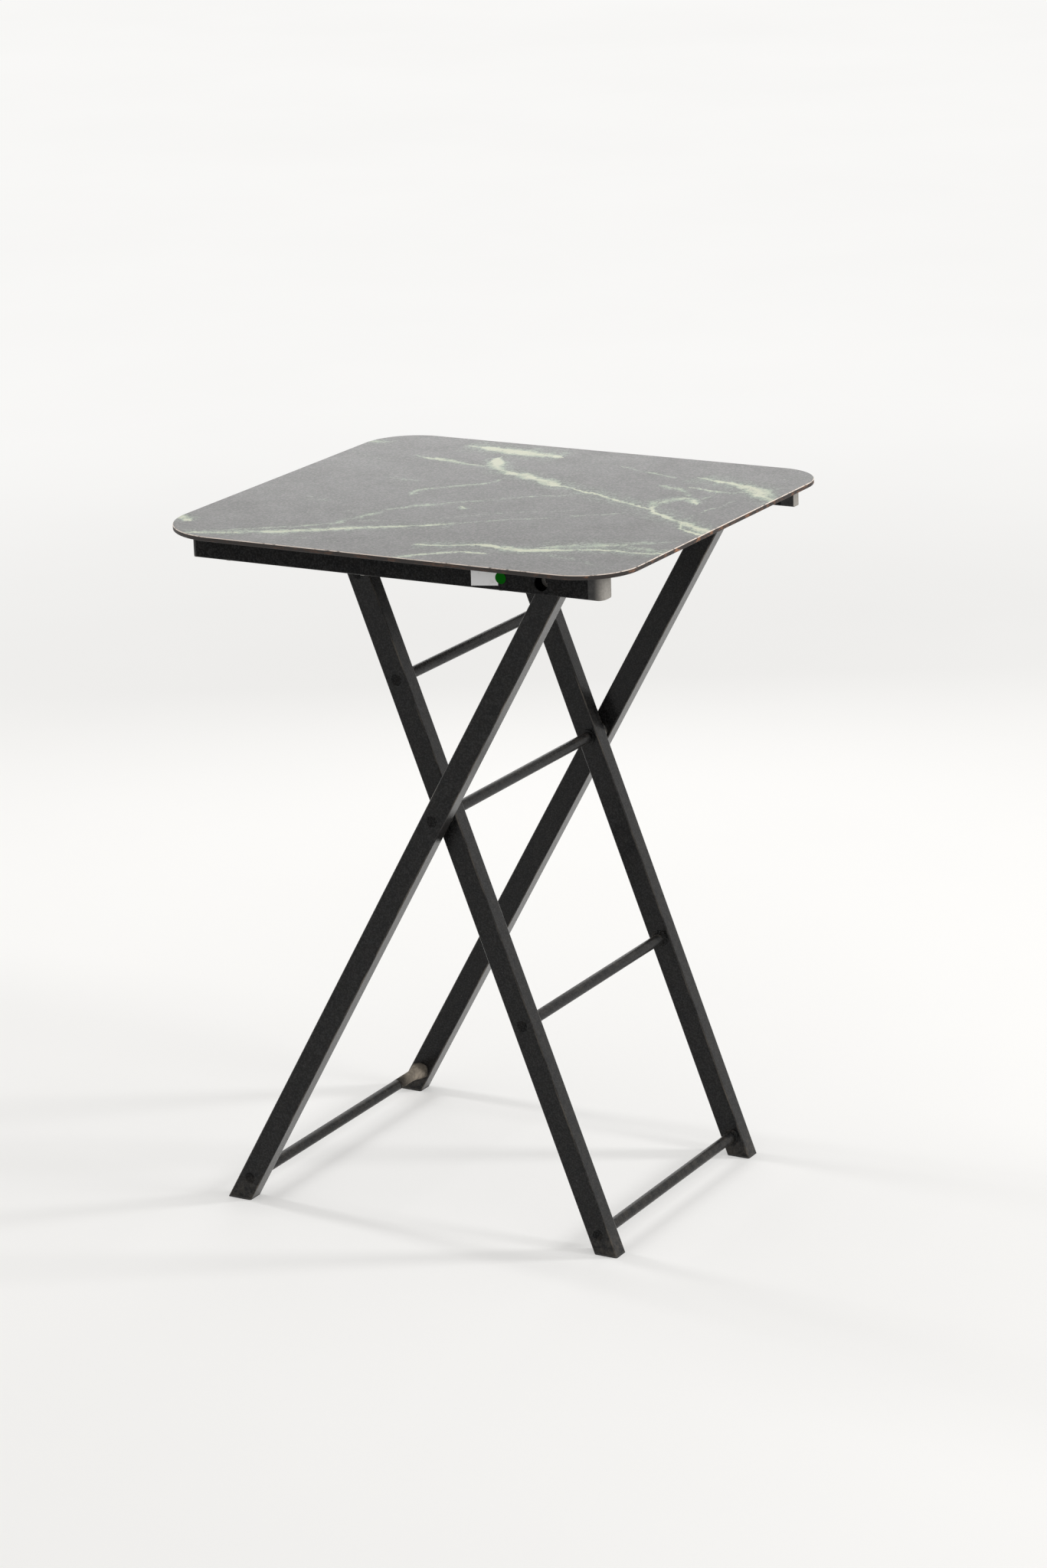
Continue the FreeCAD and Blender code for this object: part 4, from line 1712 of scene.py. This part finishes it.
@dataclass
class Studio:
    """Pale floor, soft light that is strongest from the rear right, and the camera.

    The steady step is the share of the floor that holds its tone, by distance from the origin.
    """

    pale: float = 0.94
    warm: Colour = (1.0, 0.993, 0.979)
    soft_level: float = 0.60
    floor_reach: float = 40.0
    floor_clouds: Grain = Grain(0.9, 4, 0.55)
    floor_clouding: float = 0.05
    steady: Step = Step(1.2, 4.0, 0.27, 1.0)
    azimuth: float = math.radians(29.9099)
    elevation: float = math.radians(16.9368)
    roll: float = math.radians(-1.8823)
    stand: Point = (2.26934, -3.90082, 1.81576)
    lens: float = 102.290
    film_width: float = 36.0
    sight: float = 200.0
    lamps: tuple[Softbox, ...] = (
        Softbox("window_softbox", (3.0, 1.75, 1.6), 0.5, 0.75, 54.0, mirrored=False),
        Softbox("right_strip", (2.2, 0.1, 2.5), 0.45, 0.9, 15.0),
        Softbox("left_strip", (-2.2, 0.1, 2.5), 0.38, 1.3, 20.0),
        Softbox("rear_softbox", (-0.85, 1.7, 0.92), 1.3, 0.6, 3.9, (0.0, 0.2, 0.75)),
    )

    def build(self) -> None:
        """Add floor, light and camera."""
        self.lay_floor()
        self.light_room()
        for lamp in self.lamps:
            lamp.build()
        self.set_camera()
        bpy.context.scene.view_settings.view_transform = "Standard"

    def lay_floor(self) -> None:
        """Pale floor, seen through from below."""
        work = bmesh.new()
        reach = self.floor_reach
        corners = ((-reach, -reach), (reach, -reach), (reach, reach), (-reach, reach))
        work.faces.new([work.verts.new((x, y, 0.0)) for x, y in corners])
        mesh = bpy.data.meshes.new("floor")
        work.to_mesh(mesh)
        work.free()
        floor = bpy.data.objects.new("floor", mesh)
        bpy.context.scene.collection.objects.link(floor)
        mesh.materials.append(self.floor_material())

    def floor_material(self) -> bpy.types.Material:
        """Pale floor that keeps the table's shadow; mirrors and glass show it as the camera does.

        Returns:
            The material.
        """
        material, bench = new_material("studio_floor")
        place = bench.place()
        away = bench.vector("LENGTH", place).outputs["Value"]
        darkest = self.pale - self.floor_clouding / 2
        tone = bench.ramp(self.floor_clouds.at(bench, place), self.floor_clouding, darkest)
        shade = bench.blend(tone, (0.0, 0.0, 0.0), self.warm)
        seen = bench.mix_shaders(self.steady.of(bench, away), bench.shader("BsdfDiffuse", shade),
                                 bench.shader("Emission", shade))
        lit = bench.shader("BsdfDiffuse", tone)
        shown = bench.mix_shaders(bench.straight_rays(), lit, seen)
        clear = bench.node("BsdfTransparent").outputs[0]
        below = bench.node("NewGeometry").outputs["Backfacing"]
        bench.finish("OutputMaterial", bench.mix_shaders(below, shown, clear))
        return material

    def light_room(self) -> None:
        """Even soft light from all round; pale where the camera, mirrors and glass see it."""
        world = bpy.data.worlds.new("room")
        bpy.context.scene.world = world
        world.use_nodes = True
        bench = NodeBench(world.node_tree)
        back = bench.node("Background")
        bench.feed(back.inputs["Color"], self.warm)
        level = bench.pick(bench.straight_rays(), self.soft_level, self.pale)
        bench.feed(back.inputs["Strength"], level)
        bench.finish("OutputWorld", back.outputs[0])

    def set_camera(self) -> None:
        """Place and aim the camera."""
        level = math.cos(self.elevation)
        back = Vector((math.sin(self.azimuth) * level, -math.cos(self.azimuth) * level,
                       math.sin(self.elevation)))
        level_right = (-back).cross(Vector((0, 0, 1))).normalized()
        level_up = level_right.cross(-back)
        right = math.cos(self.roll) * level_right + math.sin(self.roll) * level_up
        up = -math.sin(self.roll) * level_right + math.cos(self.roll) * level_up
        data = bpy.data.cameras.new("camera")
        data.lens = self.lens
        data.sensor_width = self.film_width
        data.clip_end = self.sight
        camera = bpy.data.objects.new("camera", data)
        turn = Matrix((right, up, back)).transposed().to_4x4()
        camera.matrix_world = Matrix.Translation(self.stand) @ turn
        bpy.context.scene.collection.objects.link(camera)
        bpy.context.scene.camera = camera


def main() -> None:
    """Dress the table and set the studio."""
    logging.basicConfig(level=logging.INFO, format="%(message)s")
    finishes = Finishes.mixed()
    outer = LegFrame(Body.OUTER, "outer_leg", ("outer_bottom_rung",),
                     ("outer_foot_plug", "outer_top_plug"), ("pivot_shaft",))
    inner = LegFrame(Body.INNER, "inner_leg",
                     ("inner_bottom_rung", "lower_rung", "upper_rung", "catch_bar"),
                     ("inner_foot_plug", "inner_top_plug"))
    for part in (outer, inner, ScissorShaft(), TopHinge(), TableTop(), StockSticker()):
        part.build(finishes)
        LOG.info("built %s", type(part).__name__)
    DirtyWeld().build(finishes, outer.faces(Side.REAR)[0])
    Studio().build()


if __name__ == "__main__":
    main()
